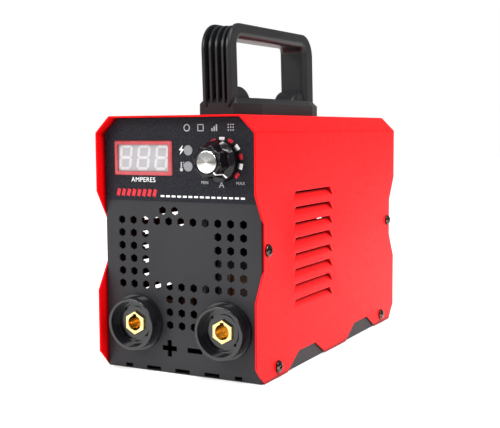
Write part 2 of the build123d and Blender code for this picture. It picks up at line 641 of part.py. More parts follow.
def make_terminal_bolt():
    z = SOCKET_HEIGHT
    back = CONTACT_BACK + BUSBAR_THICK
    return (rod_y(4.0, CONTACT_BACK - 9, back, 0, z) + rod_y(7.8, back, back + 1.2, 0, z)
            + hex_y(13.0, back + 1.2, back + 6.5, 0, z))


def make_busbar():
    z = SOCKET_HEIGHT
    upright = block(-8, 8, CONTACT_BACK, CONTACT_BACK + BUSBAR_THICK, BOARD_TOP, z + 9)
    foot = block(-8, 8, CONTACT_BACK, -68, BOARD_TOP, BOARD_TOP + BUSBAR_THICK)
    return upright + foot - rod_y(4.3, CONTACT_BACK - 1, CONTACT_BACK + 3, 0, z)


# Power board

def make_main_board():
    """The power board with its two headers."""
    y0, y1 = BOARD_Y
    board = block(-BOARD_X, BOARD_X, y0, y1, BOARD_BOTTOM, BOARD_TOP)
    board += block(-6, 6, -76, -69, BOARD_TOP, BOARD_TOP + 8)
    board += block(-36, -18, y1 - 6, y1, BOARD_TOP, BOARD_TOP + 9)
    for x, y in STANDOFF_PLACES:
        board -= rod_z(M3_RADIUS + CLEARANCE, BOARD_BOTTOM - 1, BOARD_TOP + 1, x, y)
    return board


def make_board_standoffs():
    """Hexagon standoffs pressed into the chassis floor by a spigot."""
    pieces = []
    for x, y in STANDOFF_PLACES:
        body = along_z(Pos(x, y) * hexagon(SPACER_FLATS), CHASSIS_SHEET, BOARD_BOTTOM)
        thread = rod_z(M3_RADIUS + 0.05, BOARD_BOTTOM - 5, BOARD_BOTTOM, x, y)
        pieces.append(body - thread + rod_z(M3_RADIUS, 0.1, CHASSIS_SHEET, x, y))
    return group(pieces)


def make_board_screws():
    screw = pan_screw(2.8, 2.0, M3_RADIUS, 6.0)
    return group([Pos(x, y, BOARD_TOP) * screw for x, y in STANDOFF_PLACES])


def make_heatsink(y0, y1, pitch=7.0, fin=1.8):
    """An extruded heatsink: an upright base plate with fins standing outwards."""
    low, high = HEATSINK_HEIGHTS
    inner, outer = HEATSINK_BASE
    sink = block(inner, outer, y0, y1, BOARD_TOP, high)
    count = int((high - low) // pitch) + 1
    for index in range(count):
        z = low + index * pitch
        sink += block(outer, HEATSINK_TIP, y0, y1, z, z + fin)
    return sink


def make_power_devices(places):
    """Flat-pack devices clamped to the heatsink's inner face, each on three legs."""
    inner = HEATSINK_BASE[0]
    devices = []
    for y in places:
        body = block(inner - 5, inner, y - 8, y + 8, BOARD_TOP + 6, BOARD_TOP + 27)
        legs = [block(inner - 3, inner - 2.2, y + step - 0.6, y + step + 0.6, BOARD_TOP, BOARD_TOP + 6)
                for step in (-5.45, 0, 5.45)]
        devices.append(body + legs - rod_x(1.8, inner - 6, inner, y, BOARD_TOP + 21))
    return group(devices)


def make_transformer_core():
    """Two E halves of ferrite: outer legs, middle leg, and the bars over and under them."""
    x, y = TRANSFORMER
    width, depth, height = TRANSFORMER_CORE
    low, bar = BOARD_TOP + TRANSFORMER_LIFT, 9.0
    core = block(x - width / 2, x + width / 2, y - depth / 2, y + depth / 2, low, low + height)
    window = (width - 2 * TRANSFORMER_LEG - TRANSFORMER_MIDDLE) / 2
    for side in (-1, 1):
        near, far = sorted((x + side * TRANSFORMER_MIDDLE / 2, x + side * (TRANSFORMER_MIDDLE / 2 + window)))
        core -= block(near, far, y - depth, y + depth, low + bar, low + height - bar)
    return core


def make_transformer_winding():
    """The taped coil round the core's middle leg, and its pins."""
    x, y = TRANSFORMER
    width, depth, height = TRANSFORMER_CORE
    low, bar = BOARD_TOP + TRANSFORMER_LIFT, 9.4
    reach = width / 2 - TRANSFORMER_LEG - 0.4
    inside = Rectangle(TRANSFORMER_MIDDLE + 0.4, depth + 0.4)
    coil = RectangleRounded(2 * reach, depth + 2 * reach - TRANSFORMER_MIDDLE, 6.0) - inside
    pins = [rod_z(0.8, BOARD_TOP, low + bar, x + step, y + side)
            for step in (-9, -3, 3, 9) for side in (-17.5, 17.5)]
    return along_z(Pos(x, y) * coil, low + bar, low + height - bar) + pins


def make_choke_core():
    ring, thick, _ = CHOKE_RADII
    return Pos(*CHOKE) * Torus(ring, thick)


def make_choke_winding(turns=14):
    """Turns of thick wire round the ring, left as one band per turn."""
    x, y, z = CHOKE
    ring, thick, outer = CHOKE_RADII
    band = Pos(ring, 0, 0) * Rot(90, 0, 0) * (Cylinder(outer, 2.0) - Cylinder(thick + 0.2, 3.0))
    pieces = [Pos(x, y, z) * Rot(0, 0, 360.0 * turn / (turns + 2)) * band for turn in range(turns)]
    for angle in (0.0, 3 * pi / 2):
        pieces.append(rod_z(0.8, BOARD_TOP, z - 5.2, x + ring * cos(angle), y + ring * sin(angle)))
    return sum(pieces[1:], pieces[0])


def make_bulk_capacitors():
    radius, height = CAPACITOR_SIZE
    can = rod_z(radius, BOARD_TOP, BOARD_TOP + height)
    can = fillet(can.edges(), 1.2)
    return group([Pos(x, y, 0) * can for x, y in CAPACITOR_PLACES])


def make_bridge_rectifier():
    """A square block on four legs, one corner cut off, with a hole for a heatsink screw."""
    x, y = BRIDGE_CENTRE
    half, low = 13.0, BOARD_TOP + 1
    body = block(x - half, x + half, y - half, y + half, low, low + 8)
    body = chamfer(body.edges().filter_by(Axis.Z).sort_by(Axis.X)[-1:], 4.0)
    legs = [block(x + side - 3, x + side + 3, y + along - 0.4, y + along + 0.4, BOARD_TOP, low)
            for side in (-8, 6) for along in (-9, 9)]
    return body + legs - rod_z(2.0, BOARD_TOP, low + 9, x, y)


def make_soft_start_relay():
    case = block(-7.5, 7.5, 20, 39, BOARD_TOP, BOARD_TOP + 15.5)
    return chamfer(case.edges().group_by(Axis.Z)[-1], 0.6)


def make_auxiliary_transformer():
    core = block(-8, 8, -9, 8, BOARD_TOP + 1, BOARD_TOP + 14)
    coil = Pos(0, -0.5, BOARD_TOP + 7.5) * Box(12, 21, 8)
    pins = [rod_z(0.4, BOARD_TOP, BOARD_TOP + 4, x, y) for x in (-4, 4) for y in (-10, 9)]
    return core + coil + pins


def make_driver_board():
    """A small upright board with four driver chips on its rear face."""
    back = DRIVER_BOARD_Y + BOARD_THICK
    board = block(-46, -6, DRIVER_BOARD_Y, back, BOARD_TOP, BOARD_TOP + 32)
    chips = [block(x, x + 9, back, back + 2.4, BOARD_TOP + z, BOARD_TOP + z + 6)
             for x in (-42, -28) for z in (8, 20)]
    return board + chips


# Rear

def fan_corners():
    """Where the fan's four screws are, in X and Z."""
    half = FAN_HOLE_PITCH / 2
    return [(x, FAN_HEIGHT + z) for x in (-half, half) for z in (-half, half)]


def about_fan(angle):
    """A turn about the fan's axis."""
    return Pos(0, 0, FAN_HEIGHT) * Rot(0, angle, 0) * Pos(0, 0, -FAN_HEIGHT)


def make_fan_frame():
    """Square frame with its duct, pockets in the four sides, and the motor seat on four struts."""
    half, z = FAN_SIZE / 2, FAN_HEIGHT
    y0, y1 = REAR_FRONT - FAN_THICK, REAR_FRONT
    frame = along_y(Pos(0, z) * RectangleRounded(FAN_SIZE, FAN_SIZE, 4.0), y0, y1)
    frame -= rod_y(FAN_DUCT_RADIUS, y0 - 1, y1 + 1, 0, z)
    lip, wall, pocket = 3.5, z + FAN_DUCT_RADIUS + 1.0, half - 13.0
    for quarter in range(4):
        frame -= about_fan(90 * quarter) * block(-pocket, pocket, y0 + lip, y1 - lip, wall, z + half + 1)
    frame += rod_y(16.5, y0, y0 + 4.0, 0, z)
    for quarter in range(4):
        frame += about_fan(45 + 90 * quarter) * block(-2.0, 2.0, y0, y0 + lip, z + 14, wall)
    for x, up in fan_corners():
        frame -= rod_y(M4_RADIUS + CLEARANCE, y0 - 1, y1 + 1, x, up)
    return frame - rod_y(FAN_PIN_RADIUS + 0.05, y0 - 1, y1 + 1, 0, z)


def make_fan_rotor(blades=7):
    """The hub over the motor, with blades cut off round to clear the duct, and its pin."""
    z, y0 = FAN_HEIGHT, REAR_FRONT - FAN_THICK
    rotor = rod_y(FAN_HUB_RADIUS, y0 + 5.0, y0 + 22.5, 0, z)
    rotor = fillet(rotor.edges().group_by(Axis.Y)[-1], 2.0)
    swept = rod_y(FAN_DUCT_RADIUS - 1.3, y0 + 5.5, y0 + 22.0, 0, z)
    swept -= rod_y(FAN_HUB_RADIUS - 1, y0, y0 + FAN_THICK, 0, z)
    blade = Pos(0, y0 + 13.7, z + 26.0) * Rot(0, 0, 42) * Box(26.0, 1.5, 24.0)
    for index in range(blades):
        rotor += (about_fan(360.0 * index / blades) * blade) & swept
    return rotor + rod_y(FAN_PIN_RADIUS, y0 + 0.5, y0 + 6.0, 0, z)


def make_fan_screws():
    screw = pan_screw(3.8, 2.6, M4_RADIUS, 31.0)
    return group([Pos(x, REAR_BACK, z) * Rot(-90, 0, 0) * screw for x, z in fan_corners()])


def make_fan_nuts():
    back = REAR_FRONT - FAN_THICK
    return group([hex_y(7.0, back - 3.2, back, x, z) - rod_y(M4_RADIUS + 0.05, back - 4, back + 1, x, z)
                  for x, z in fan_corners()])


def rocker_outline():
    """The rocker in Y and Z about its pivot: two faces that meet in a shallow valley."""
    return [(-3.2, -13.5), (-3.2, 13.5), (5.6, 13.5), (2.6, 0), (5.6, -13.5)]


def make_power_switch_body():
    x, z = SWITCH_CENTRE
    width, height = SWITCH_BODY
    flange = Pos(x, z) * RectangleRounded(width + 4, height + 4, 1.5)
    body = along_y(flange, REAR_BACK, REAR_BACK + 2.2)
    body = fillet(body.edges().group_by(Axis.Y)[-1], 0.8)
    body += along_y(Pos(x, z) * Rectangle(width, height), REAR_BACK - 20, REAR_BACK)
    body -= along_y(Pos(x, z) * Rectangle(width - 4, height - 3), ROCKER_PIVOT_Y - 7, REAR_BACK + 5)
    tabs = [block(x + side - 3.2, x + side + 3.2, REAR_BACK - 27, REAR_BACK - 20, z + up - 0.4, z + up + 0.4)
            for side in (-5.5, 5.5) for up in (-9, 9)]
    return body + tabs - rod_x(1.05, x - width / 2 + 0.8, x + width / 2 - 0.8, ROCKER_PIVOT_Y, z)


def make_power_rocker():
    x, z = SWITCH_CENTRE
    half = SWITCH_BODY[0] / 2 - 2.5
    rocker = along_x(make_face(Polyline(*rocker_outline(), close=True)), -half, half)
    rocker &= rod_x(13.1, -half, half, 0, 0)
    rocker += rod_x(1.0, -half - 1.4, half + 1.4, 0, 0)
    return Pos(x, ROCKER_PIVOT_Y, z) * Rot(-ROCKER_TRAVEL / 2, 0, 0) * rocker


def make_cable_gland():
    x, z = GLAND_CENTRE
    out = REAR_BACK
    body = rod_y(GLAND_THREAD_RADIUS, out - 10, out, x, z) + hex_y(GLAND_FLATS, out, out + 5, x, z)
    dome = rod_y(GLAND_FLATS / 2 - 0.8, out + 5, -KNOB_TIP, x, z)
    body += chamfer(dome.edges().group_by(Axis.Y)[-1], 3.4)
    return body - rod_y(GLAND_BORE_RADIUS, out - 20, out + 30, x, z)


def make_cable_gland_nut():
    x, z = GLAND_CENTRE
    nut = hex_y(GLAND_FLATS, REAR_FRONT - 5, REAR_FRONT, x, z)
    return nut - rod_y(GLAND_THREAD_RADIUS + 0.05, REAR_FRONT - 6, REAR_FRONT + 1, x, z)


def make_earth_bolt():
    z = EARTH_HEIGHT
    shank = rod_y(EARTH_RADIUS, REAR_FRONT, REAR_BACK + 11, 0, z)
    return shank + hex_y(EARTH_FLATS, REAR_FRONT - 3.5, REAR_FRONT, 0, z)


def make_earth_nuts():
    z = EARTH_HEIGHT
    hole = rod_y(EARTH_RADIUS + 0.05, REAR_BACK - 1, REAR_BACK + 6, 0, z)
    washer = rod_y(5.5, REAR_BACK, REAR_BACK + 1, 0, z) - hole
    nut = hex_y(EARTH_FLATS, REAR_BACK + 1, REAR_BACK + 5, 0, z) - hole
    return group([washer, nut])


# Leads clipped inside the casing

def make_control_cable():
    """Sleeved loom from the control board down to the power board's header."""
    start = CONTROL_BOARD_Y + BOARD_THICK + HEADER_HEIGHT
    points = [(0, start, 115.0), (0, start + 10, 115.0), (0, start + 10, 34.0), (0, -72.5, 30.0),
              (0, -72.5, BOARD_TOP + 8)]
    return tube_along(points, [4.5, 8.0, 5.0], 2.2)


def make_switch_leads():
    """Two leads from the power switch forward and down to the power board."""
    x, z = SWITCH_CENTRE
    start, turn = REAR_BACK - 27, 75.0
    leads = []
    for side in (-5.5, 5.5):
        points = [(x + side, start, z + 9), (x + side, turn, z + 9), (x + side, turn, BOARD_TOP + 9)]
        leads.append(tube_along(points, [4.0], 1.5))
    return group(leads)


def main():
    parts = {
        "chassis": make_chassis(),
        "cover": make_cover(),
        "cover_screws": make_cover_screws(),
        "handle": make_handle(),
        "handle_screws": make_handle_screws(),
        "control_label": make_control_label(),
        "display_bezel": make_display_bezel(),
        "display_module": make_display_module(),
        "power_led": make_led(LED_HEIGHTS[0]),
        "overheat_led": make_led(LED_HEIGHTS[1]),
        "control_board": make_control_board(),
        "control_board_spacers": make_control_board_spacers(),
        "control_board_screws": make_control_board_screws(),
        "potentiometer_body": make_potentiometer_body(),
        "potentiometer_nut": make_potentiometer_nut(),
        "potentiometer_shaft": make_potentiometer_shaft(),
        "knob": make_knob(),
        "knob_cap": make_knob_cap(),
        "main_board": make_main_board(),
        "board_standoffs": make_board_standoffs(),
        "board_screws": make_board_screws(),
        "heatsink_right": make_heatsink(-14, 40),
        "heatsink_left": mirror(make_heatsink(-18, 42), about=Plane.YZ),
        "output_diodes": make_power_devices((-5, 13, 31)),
        "switching_transistors": mirror(make_power_devices((-9, 10, 29)), about=Plane.YZ),
        "transformer_core": make_transformer_core(),
        "transformer_winding": make_transformer_winding(),
        "choke_core": make_choke_core(),
        "choke_winding": make_choke_winding(),
        "bulk_capacitors": make_bulk_capacitors(),
        "bridge_rectifier": make_bridge_rectifier(),
        "soft_start_relay": make_soft_start_relay(),
        "auxiliary_transformer": make_auxiliary_transformer(),
        "driver_board": make_driver_board(),
        "fan_frame": make_fan_frame(),
        "fan_rotor": make_fan_rotor(),
        "fan_screws": make_fan_screws(),
        "fan_nuts": make_fan_nuts(),
        "power_switch_body": make_power_switch_body(),
        "power_rocker": make_power_rocker(),
        "cable_gland": make_cable_gland(),
        "cable_gland_nut": make_cable_gland_nut(),
        "earth_bolt": make_earth_bolt(),
        "earth_nuts": make_earth_nuts(),
        "control_cable": make_control_cable(),
        "switch_leads": make_switch_leads(),
    }
    socket = {
        "socket_body": make_socket_body(),
        "socket_contact": make_socket_contact(),
        "socket_nut": make_socket_nut(),
        "terminal_bolt": make_terminal_bolt(),
        "busbar": make_busbar(),
    }
    for sign, x in (("positive", -SOCKET_X), ("negative", SOCKET_X)):
        for name, piece in socket.items():
            parts[f"{sign}_{name}"] = Pos(x, 0, 0) * piece
    os.makedirs("parts", exist_ok=True)
    for name, part in parts.items():
        export_step(part, f"parts/{name}.step")


main()
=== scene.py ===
import json
from math import cos, pi, radians, sin, sqrt, tau

import bmesh
import bpy
from mathutils import Matrix, Vector


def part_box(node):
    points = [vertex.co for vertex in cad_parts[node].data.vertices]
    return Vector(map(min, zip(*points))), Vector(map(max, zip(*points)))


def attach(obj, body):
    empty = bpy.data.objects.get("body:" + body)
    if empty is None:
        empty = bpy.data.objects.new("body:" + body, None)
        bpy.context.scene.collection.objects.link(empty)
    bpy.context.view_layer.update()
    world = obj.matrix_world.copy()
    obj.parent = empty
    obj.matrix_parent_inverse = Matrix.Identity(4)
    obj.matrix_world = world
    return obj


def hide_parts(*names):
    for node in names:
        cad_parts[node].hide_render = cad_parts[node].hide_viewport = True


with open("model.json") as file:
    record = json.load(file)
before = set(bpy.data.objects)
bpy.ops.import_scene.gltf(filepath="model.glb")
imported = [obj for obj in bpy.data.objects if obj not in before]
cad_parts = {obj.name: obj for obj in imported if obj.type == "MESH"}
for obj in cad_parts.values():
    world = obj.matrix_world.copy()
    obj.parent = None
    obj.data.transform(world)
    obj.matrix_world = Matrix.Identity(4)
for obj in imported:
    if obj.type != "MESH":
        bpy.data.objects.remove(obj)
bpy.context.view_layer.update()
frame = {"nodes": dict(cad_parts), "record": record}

# ---------------------------------------------------------------- Studio
# A pale floor and a few large soft lamps, with the camera at eye level with the control panel,
# to the right of the machine's front. The floor and the lamps are no part of the machine.


def linear(code):
    """A hex colour as drawn, turned to the linear red, green, blue and alpha that shaders take."""
    parts = [int(code[at:at + 2], 16) / 255 for at in (0, 2, 4)]
    return (*[p / 12.92 if p <= 0.04045 else ((p + 0.055) / 1.055) ** 2.4 for p in parts], 1.0)


def add_node(tree, kind, settings=None, inputs=None):
    """A node with its settings, and its inputs set to a value or linked to another node's output."""
    node = tree.nodes.new(kind)
    for name, value in (settings or {}).items():
        setattr(node, name, value)
    for name, value in (inputs or {}).items():
        if isinstance(value, bpy.types.NodeSocket):
            tree.links.new(value, node.inputs[name])
        else:
            node.inputs[name].default_value = value
    return node


def new_material(name, metallic=0.0, specular=0.5, **sockets):
    """A material with its own shader, ready for nodes that vary its colour, roughness or bump."""
    material = bpy.data.materials.new(name)
    material.use_nodes = True
    shader = material.node_tree.nodes["Principled BSDF"]
    values = {"Metallic": metallic, "Specular IOR Level": specular, **sockets}
    for socket, value in values.items():
        shader.inputs[socket].default_value = value
    return material, material.node_tree, shader


def shown(name, data, material=None):
    """A new object in the scene, with its material where it has one."""
    if material:
        data.materials.append(material)
    thing = bpy.data.objects.new(name, data)
    bpy.context.scene.collection.objects.link(thing)
    return thing


CAMERA_PLACE = (0.2961, -0.5851, 0.1467)
CAMERA_TURN, CAMERA_TILT, CAMERA_ROLL = radians(27.62), radians(84.92), radians(-0.34)
camera = shown("camera", bpy.data.cameras.new("camera"))
camera.data.sensor_width = 36.0
camera.data.lens = 67.93
camera.data.clip_start = 0.01
camera.matrix_world = (Matrix.Translation(CAMERA_PLACE) @ Matrix.Rotation(CAMERA_TURN, 4, "Z")
                       @ Matrix.Rotation(CAMERA_TILT, 4, "X") @ Matrix.Rotation(CAMERA_ROLL, 4, "Z"))
bpy.context.scene.camera = camera
bpy.context.scene.view_settings.view_transform = "Standard"

# Matt white paint that glows a little, so that it meets the pale backdrop without a line.
FLOOR_REACH, FLOOR_LEVEL = 4.0, -0.0004
floor_mesh = bpy.data.meshes.new("floor")
corners = [(x * FLOOR_REACH, y * FLOOR_REACH, FLOOR_LEVEL) for x, y in ((-1, -1), (1, -1), (1, 1), (-1, 1))]
floor_mesh.from_pydata(corners, [], [(0, 1, 2, 3)])
floor_paint, tree, shader = new_material("floor_matt_white", specular=0.1, **{
    "Base Color": linear("f0f0f0"), "Roughness": 0.9,
    "Emission Color": (1, 1, 1, 1), "Emission Strength": 0.35})
shown("floor", floor_mesh, floor_paint)

# The backdrop is white to the eye, a little dimmer as light, and dimmer still in reflections.
world = bpy.data.worlds.new("studio")
bpy.context.scene.world = world
world.use_nodes = True
backdrop = world.node_tree.nodes["Background"]
backdrop.inputs["Color"].default_value = (1, 1, 1, 1)
rays = add_node(world.node_tree, "ShaderNodeLightPath")
lighting = add_node(world.node_tree, "ShaderNodeMapRange",
                    inputs={"Value": rays.outputs["Is Diffuse Ray"], "To Min": 0.32, "To Max": 0.8})
brightness = add_node(world.node_tree, "ShaderNodeMix", inputs={
    0: rays.outputs["Is Camera Ray"], 2: lighting.outputs["Result"], 3: 1.0})
world.node_tree.links.new(brightness.outputs[0], backdrop.inputs["Strength"])


def soft_lamp(name, place, size, power):
    """A large square lamp that points at the middle of the machine."""
    lamp = shown(name, bpy.data.lights.new(name, "AREA"))
    lamp.data.size, lamp.data.energy = size, power
    lamp.location = place
    lamp.rotation_euler = (Vector((0, 0, 0.08)) - Vector(place)).to_track_quat("-Z", "Y").to_euler()


soft_lamp("key_lamp", (1.1, -0.5, 1.2), size=0.6, power=12.0)
soft_lamp("front_lamp", (-0.7, -1.3, 0.9), size=0.6, power=13.0)
soft_lamp("top_lamp", (0.2, -0.4, 1.5), size=0.4, power=11.0)

# ---------------------------------------------------------------- Chassis
# Floor, front and rear panel bent from one steel sheet, holes punched before bending.
# Black semi-matt polyester powder coat: a fine even grain, baked on.

MM = 0.001
SAME_POINT_MM = 0.002
node_slots = {part["node"]: part["material_slot"] for part in frame["record"]["subparts"]}


def surface(tree, shader, tones, patch_mm, grain_mm, depth_mm, roughness, edge_mm=0.0):
    """Slow change between two tones, and a fine grain that varies the roughness and stands in low relief.
    With edge_mm, sharp edges also shade as if they were rounded by that much."""
    place = add_node(tree, "ShaderNodeTexCoord").outputs["Object"]
    patches = add_node(tree, "ShaderNodeTexNoise", inputs={
        "Vector": place, "Scale": 1000 / patch_mm, "Detail": 3.0})
    spread = add_node(tree, "ShaderNodeMapRange", inputs={
        "Value": patches.outputs["Fac"], "From Min": 0.35, "From Max": 0.65})
    tint = add_node(tree, "ShaderNodeMix", {"data_type": "RGBA"},
                    {0: spread.outputs["Result"], 6: linear(tones[0]), 7: linear(tones[1])})
    grain = add_node(tree, "ShaderNodeTexNoise", inputs={
        "Vector": place, "Scale": 1000 / grain_mm, "Detail": 2.0})
    height = grain.outputs["Fac"]
    rough = add_node(tree, "ShaderNodeMapRange", inputs={
        "Value": height, "From Min": 0.35, "From Max": 0.65, "To Min": roughness[0], "To Max": roughness[1]})
    relief = add_node(tree, "ShaderNodeBump", inputs={
        "Height": height, "Strength": 1.0, "Distance": depth_mm * MM})
    if edge_mm:
        rounded = add_node(tree, "ShaderNodeBevel", {"samples": 6}, {"Radius": edge_mm * MM})
        tree.links.new(rounded.outputs["Normal"], relief.inputs["Normal"])
    tree.links.new(tint.outputs[2], shader.inputs["Base Color"])
    tree.links.new(rough.outputs["Result"], shader.inputs["Roughness"])
    tree.links.new(relief.outputs["Normal"], shader.inputs["Normal"])


def smooth_by_angle(mesh, degrees=32):
    """Curved faces shade smooth, and an edge sharper than the angle stays crisp."""
    mesh.shade_smooth()
    mesh.set_sharp_from_angle(angle=radians(degrees))


def settle(piece, body, slot, *nodes):
    """The finished piece rides on its body and stands for its plain nodes, which are hidden. The slot is not
    used.
    """
    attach(piece, body)
    if nodes:
        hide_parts(*nodes)


def finished(node, material, body="case", edge_mm=0.0, cuts=()):
    """A copy of a plain node, its loose triangles joined, its curves smooth and its flat faces flat.
    A solid block with few openings can have its sharp edges broken by a small round.
    Cuts are planes across Y, in mm, that divide its faces."""
    mesh = frame["nodes"][node].data.copy()
    mesh.materials.clear()
    if mesh.has_custom_normals:
        mesh.attributes.remove(mesh.attributes["custom_normal"])
    work = bmesh.new()
    work.from_mesh(mesh)
    bmesh.ops.remove_doubles(work, verts=work.verts, dist=SAME_POINT_MM * MM)
    for cut in cuts:
        bmesh.ops.bisect_plane(work, geom=[*work.verts, *work.edges, *work.faces], dist=1e-7,
                               plane_co=(0, cut * MM, 0), plane_no=(0, 1, 0))
    if edge_mm:
        bmesh.ops.dissolve_limit(work, angle_limit=radians(0.4), verts=work.verts, edges=work.edges)
    work.to_mesh(mesh)
    work.free()
    smooth_by_angle(mesh)
    piece = shown(f"{node}_finished", mesh, material)
    if edge_mm:
        bevel = piece.modifiers.new("broken_edges", "BEVEL")
        bevel.width, bevel.segments, bevel.angle_limit = edge_mm * MM, 2, radians(38)
    weighted = piece.modifiers.new("flat_faces", "WEIGHTED_NORMAL")
    weighted.keep_sharp = True
    make_plain(piece)
    settle(piece, body, node_slots[node], node)
    return piece


def make_plain(piece):
    """The modifiers' result becomes the piece's own mesh."""
    mesh = bpy.data.meshes.new_from_object(piece.evaluated_get(bpy.context.evaluated_depsgraph_get()))
    piece.modifiers.clear()
    piece.data = mesh


def dress(material, *nodes):
    """Nodes whose shape is right get their finish."""
    for node in nodes:
        slots = frame["nodes"][node].data.materials
        slots.clear()
        slots.append(material)


powder_coat, tree, shader = new_material("powder_coat_black", specular=0.3)
surface(tree, shader, ("212124", "28282b"), patch_mm=60.0, grain_mm=0.5, depth_mm=0.03,
        roughness=(0.42, 0.6), edge_mm=0.3)
finished("chassis", powder_coat)

# ---------------------------------------------------------------- Cover
# One steel sheet, louvres pressed in, then bent over the chassis: top, two bevels and two sides.
# Red baked enamel, sprayed on: smooth with a very slight orange peel, brighter where it thins at an edge.

cover_enamel, tree, shader = new_material("baked_enamel_red", specular=0.08)
surface(tree, shader, ("e6060c", "ee0910"), patch_mm=120.0, grain_mm=1.8, depth_mm=0.004,
        roughness=(0.34, 0.44), edge_mm=0.35)
tinted = shader.inputs["Base Color"].links[0].from_socket
# Painted shade: in narrow inside corners and hollows, such as the louvres, an occlusion test mixes the red
# towards a deep red.
SHADE_REACH_MM = 5.5
corner = add_node(tree, "ShaderNodeAmbientOcclusion", {"samples": 8}, {"Distance": SHADE_REACH_MM * MM})
open_share = add_node(tree, "ShaderNodeMapRange", inputs={
    "Value": corner.outputs["AO"], "From Min": 0.62, "From Max": 0.84})
painted_corner_shade = add_node(tree, "ShaderNodeMix", {"data_type": "RGBA"}, {
    0: open_share.outputs["Result"], 6: linear("6e0004"), 7: tinted})
tree.links.new(painted_corner_shade.outputs[2], shader.inputs["Base Color"])
PANEL_PLANES = (-108.0, 108.0)  # the two panels' outer faces; the cover's rims stand past them
cover = finished("cover", cover_enamel, cuts=PANEL_PLANES)

# Painted shade: the sheet's inner faces take a dull dark red-brown, so that the inside looks dim and is
# hardly seen through the openings.
painted_inside_shade, tree, shader = new_material("dark_red_painted_inside_shade", specular=0.1)
surface(tree, shader, ("340809", "480d10"), patch_mm=30.0, grain_mm=0.8, depth_mm=0.02,
        roughness=(0.6, 0.8))
cover.data.materials.append(painted_inside_shade)
top_inside, side_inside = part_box("cover")[1].z - 13 * MM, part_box("cover")[1].x - 0.5 * MM
# Faces that look inward, and faces that look down under the top, take the painted shade, within the sides and
# between the panels.
for face in cover.data.polygons:
    x, y, z = face.center
    inward = face.normal.x * x < 0 and abs(face.normal.x) > 0.3
    under = face.normal.z < -0.3 and z > top_inside
    if (inward or under) and abs(x) < side_inside and abs(y) < PANEL_PLANES[1] * MM:
        face.material_index = 1

# ---------------------------------------------------------------- Cover screws
# M4 pan-head screws with a cross recess, four on each side, into the chassis flanges.
# Cold-headed steel with black nickel plating: dark, with bright glints on the recess.

# Places in Y and Z on each side, in mm.
COVER_SCREW_PLACES = ((-102.0, 77.5), (-89.0, 6.5), (89.0, 6.5), (102.0, 77.5))


def as_drawn(radius, height, angle):
    """A plain turned piece, the same all round."""
    return radius, height


def lathe(name, profile, count, shape=as_drawn):
    """A skin about Z from (radius, height) points in mm; shape moves a point by where it is."""
    mesh = bpy.data.meshes.new(name)
    work = bmesh.new()
    rings = []
    for outline_radius, outline_height in profile:
        ring = []
        for step in range(count if outline_radius > 0 else 1):
            angle = tau * step / count
            radius, height = shape(outline_radius, outline_height, angle)
            ring.append(work.verts.new(Vector((radius * cos(angle), radius * sin(angle), height)) * MM))
        rings.append(ring)
    for low, high in zip(rings, rings[1:]):
        for step in range(count):
            after = (step + 1) % count
            around = [low[step % len(low)], low[after % len(low)],
                      high[after % len(high)], high[step % len(high)]]
            work.faces.new(list(dict.fromkeys(around)))
    bmesh.ops.recalc_face_normals(work, faces=work.faces)
    work.to_mesh(mesh)
    work.free()
    return mesh


def screw_mesh(name, head, height, shank, length):
    """Pan head with a tapered cross recess, over a shank with its thread's ridges."""
    edge, crown_steps, half_pitch, thread_depth = 0.38 * height, 22, 0.35, 0.25
    crown = [(head * share, edge + (height - edge) * (1 - share ** 2.6)) for share in
             [*[step / crown_steps for step in range(crown_steps)], 0.985]]
    ridges = [(shank - thread_depth * (step % 2), -half_pitch * step)
              for step in range(1, int(length / half_pitch))]
    profile = crown + [(head, edge - 0.1), (head * 0.985, 0.0), (shank, 0.0)] + ridges + [(0, -length)]

    def recess(radius, level, angle):
        """Two crossed slots with sloping walls and ends, as shares of the head's radius."""
        across, along = sorted((abs(radius * cos(angle)) / head, abs(radius * sin(angle)) / head))
        inside = min(1.0, max(0.0, (0.17 - across) / 0.06)) * min(1.0, max(0.0, (0.58 - along) / 0.16))
        return radius, level - (0.62 * height * inside if level > edge else 0.0)

    mesh = lathe(name, profile, 64, recess)
    smooth_by_angle(mesh, 40)
    return mesh


def copies_tree(name):
    """A node tree that puts a piece on each point, turned as the point says."""
    tree = bpy.data.node_groups.new(name, "GeometryNodeTree")
    tree.interface.new_socket("Geometry", in_out="OUTPUT", socket_type="NodeSocketGeometry")
    tree.interface.new_socket("Geometry", in_out="INPUT", socket_type="NodeSocketGeometry")
    for label, kind in (("Piece", "Object"), ("Finish", "Material"), ("Size", "Float")):
        tree.interface.new_socket(label, in_out="INPUT", socket_type=f"NodeSocket{kind}")
    given = add_node(tree, "NodeGroupInput")
    piece = add_node(tree, "GeometryNodeObjectInfo", inputs={"Object": given.outputs["Piece"]})
    turn = add_node(tree, "GeometryNodeInputNamedAttribute", {"data_type": "FLOAT_VECTOR"}, {"Name": "turn"})
    placed = add_node(tree, "GeometryNodeInstanceOnPoints", inputs={
        "Points": given.outputs["Geometry"], "Instance": piece.outputs["Geometry"],
        "Rotation": turn.outputs["Attribute"], "Scale": given.outputs["Size"]})
    real = add_node(tree, "GeometryNodeRealizeInstances", inputs={"Geometry": placed.outputs["Instances"]})
    coated = add_node(tree, "GeometryNodeSetMaterial", inputs={
        "Geometry": real.outputs["Geometry"], "Material": given.outputs["Finish"]})
    add_node(tree, "NodeGroupOutput", inputs={"Geometry": coated.outputs["Geometry"]})
    return tree


piece_on_points = copies_tree("piece_on_points")


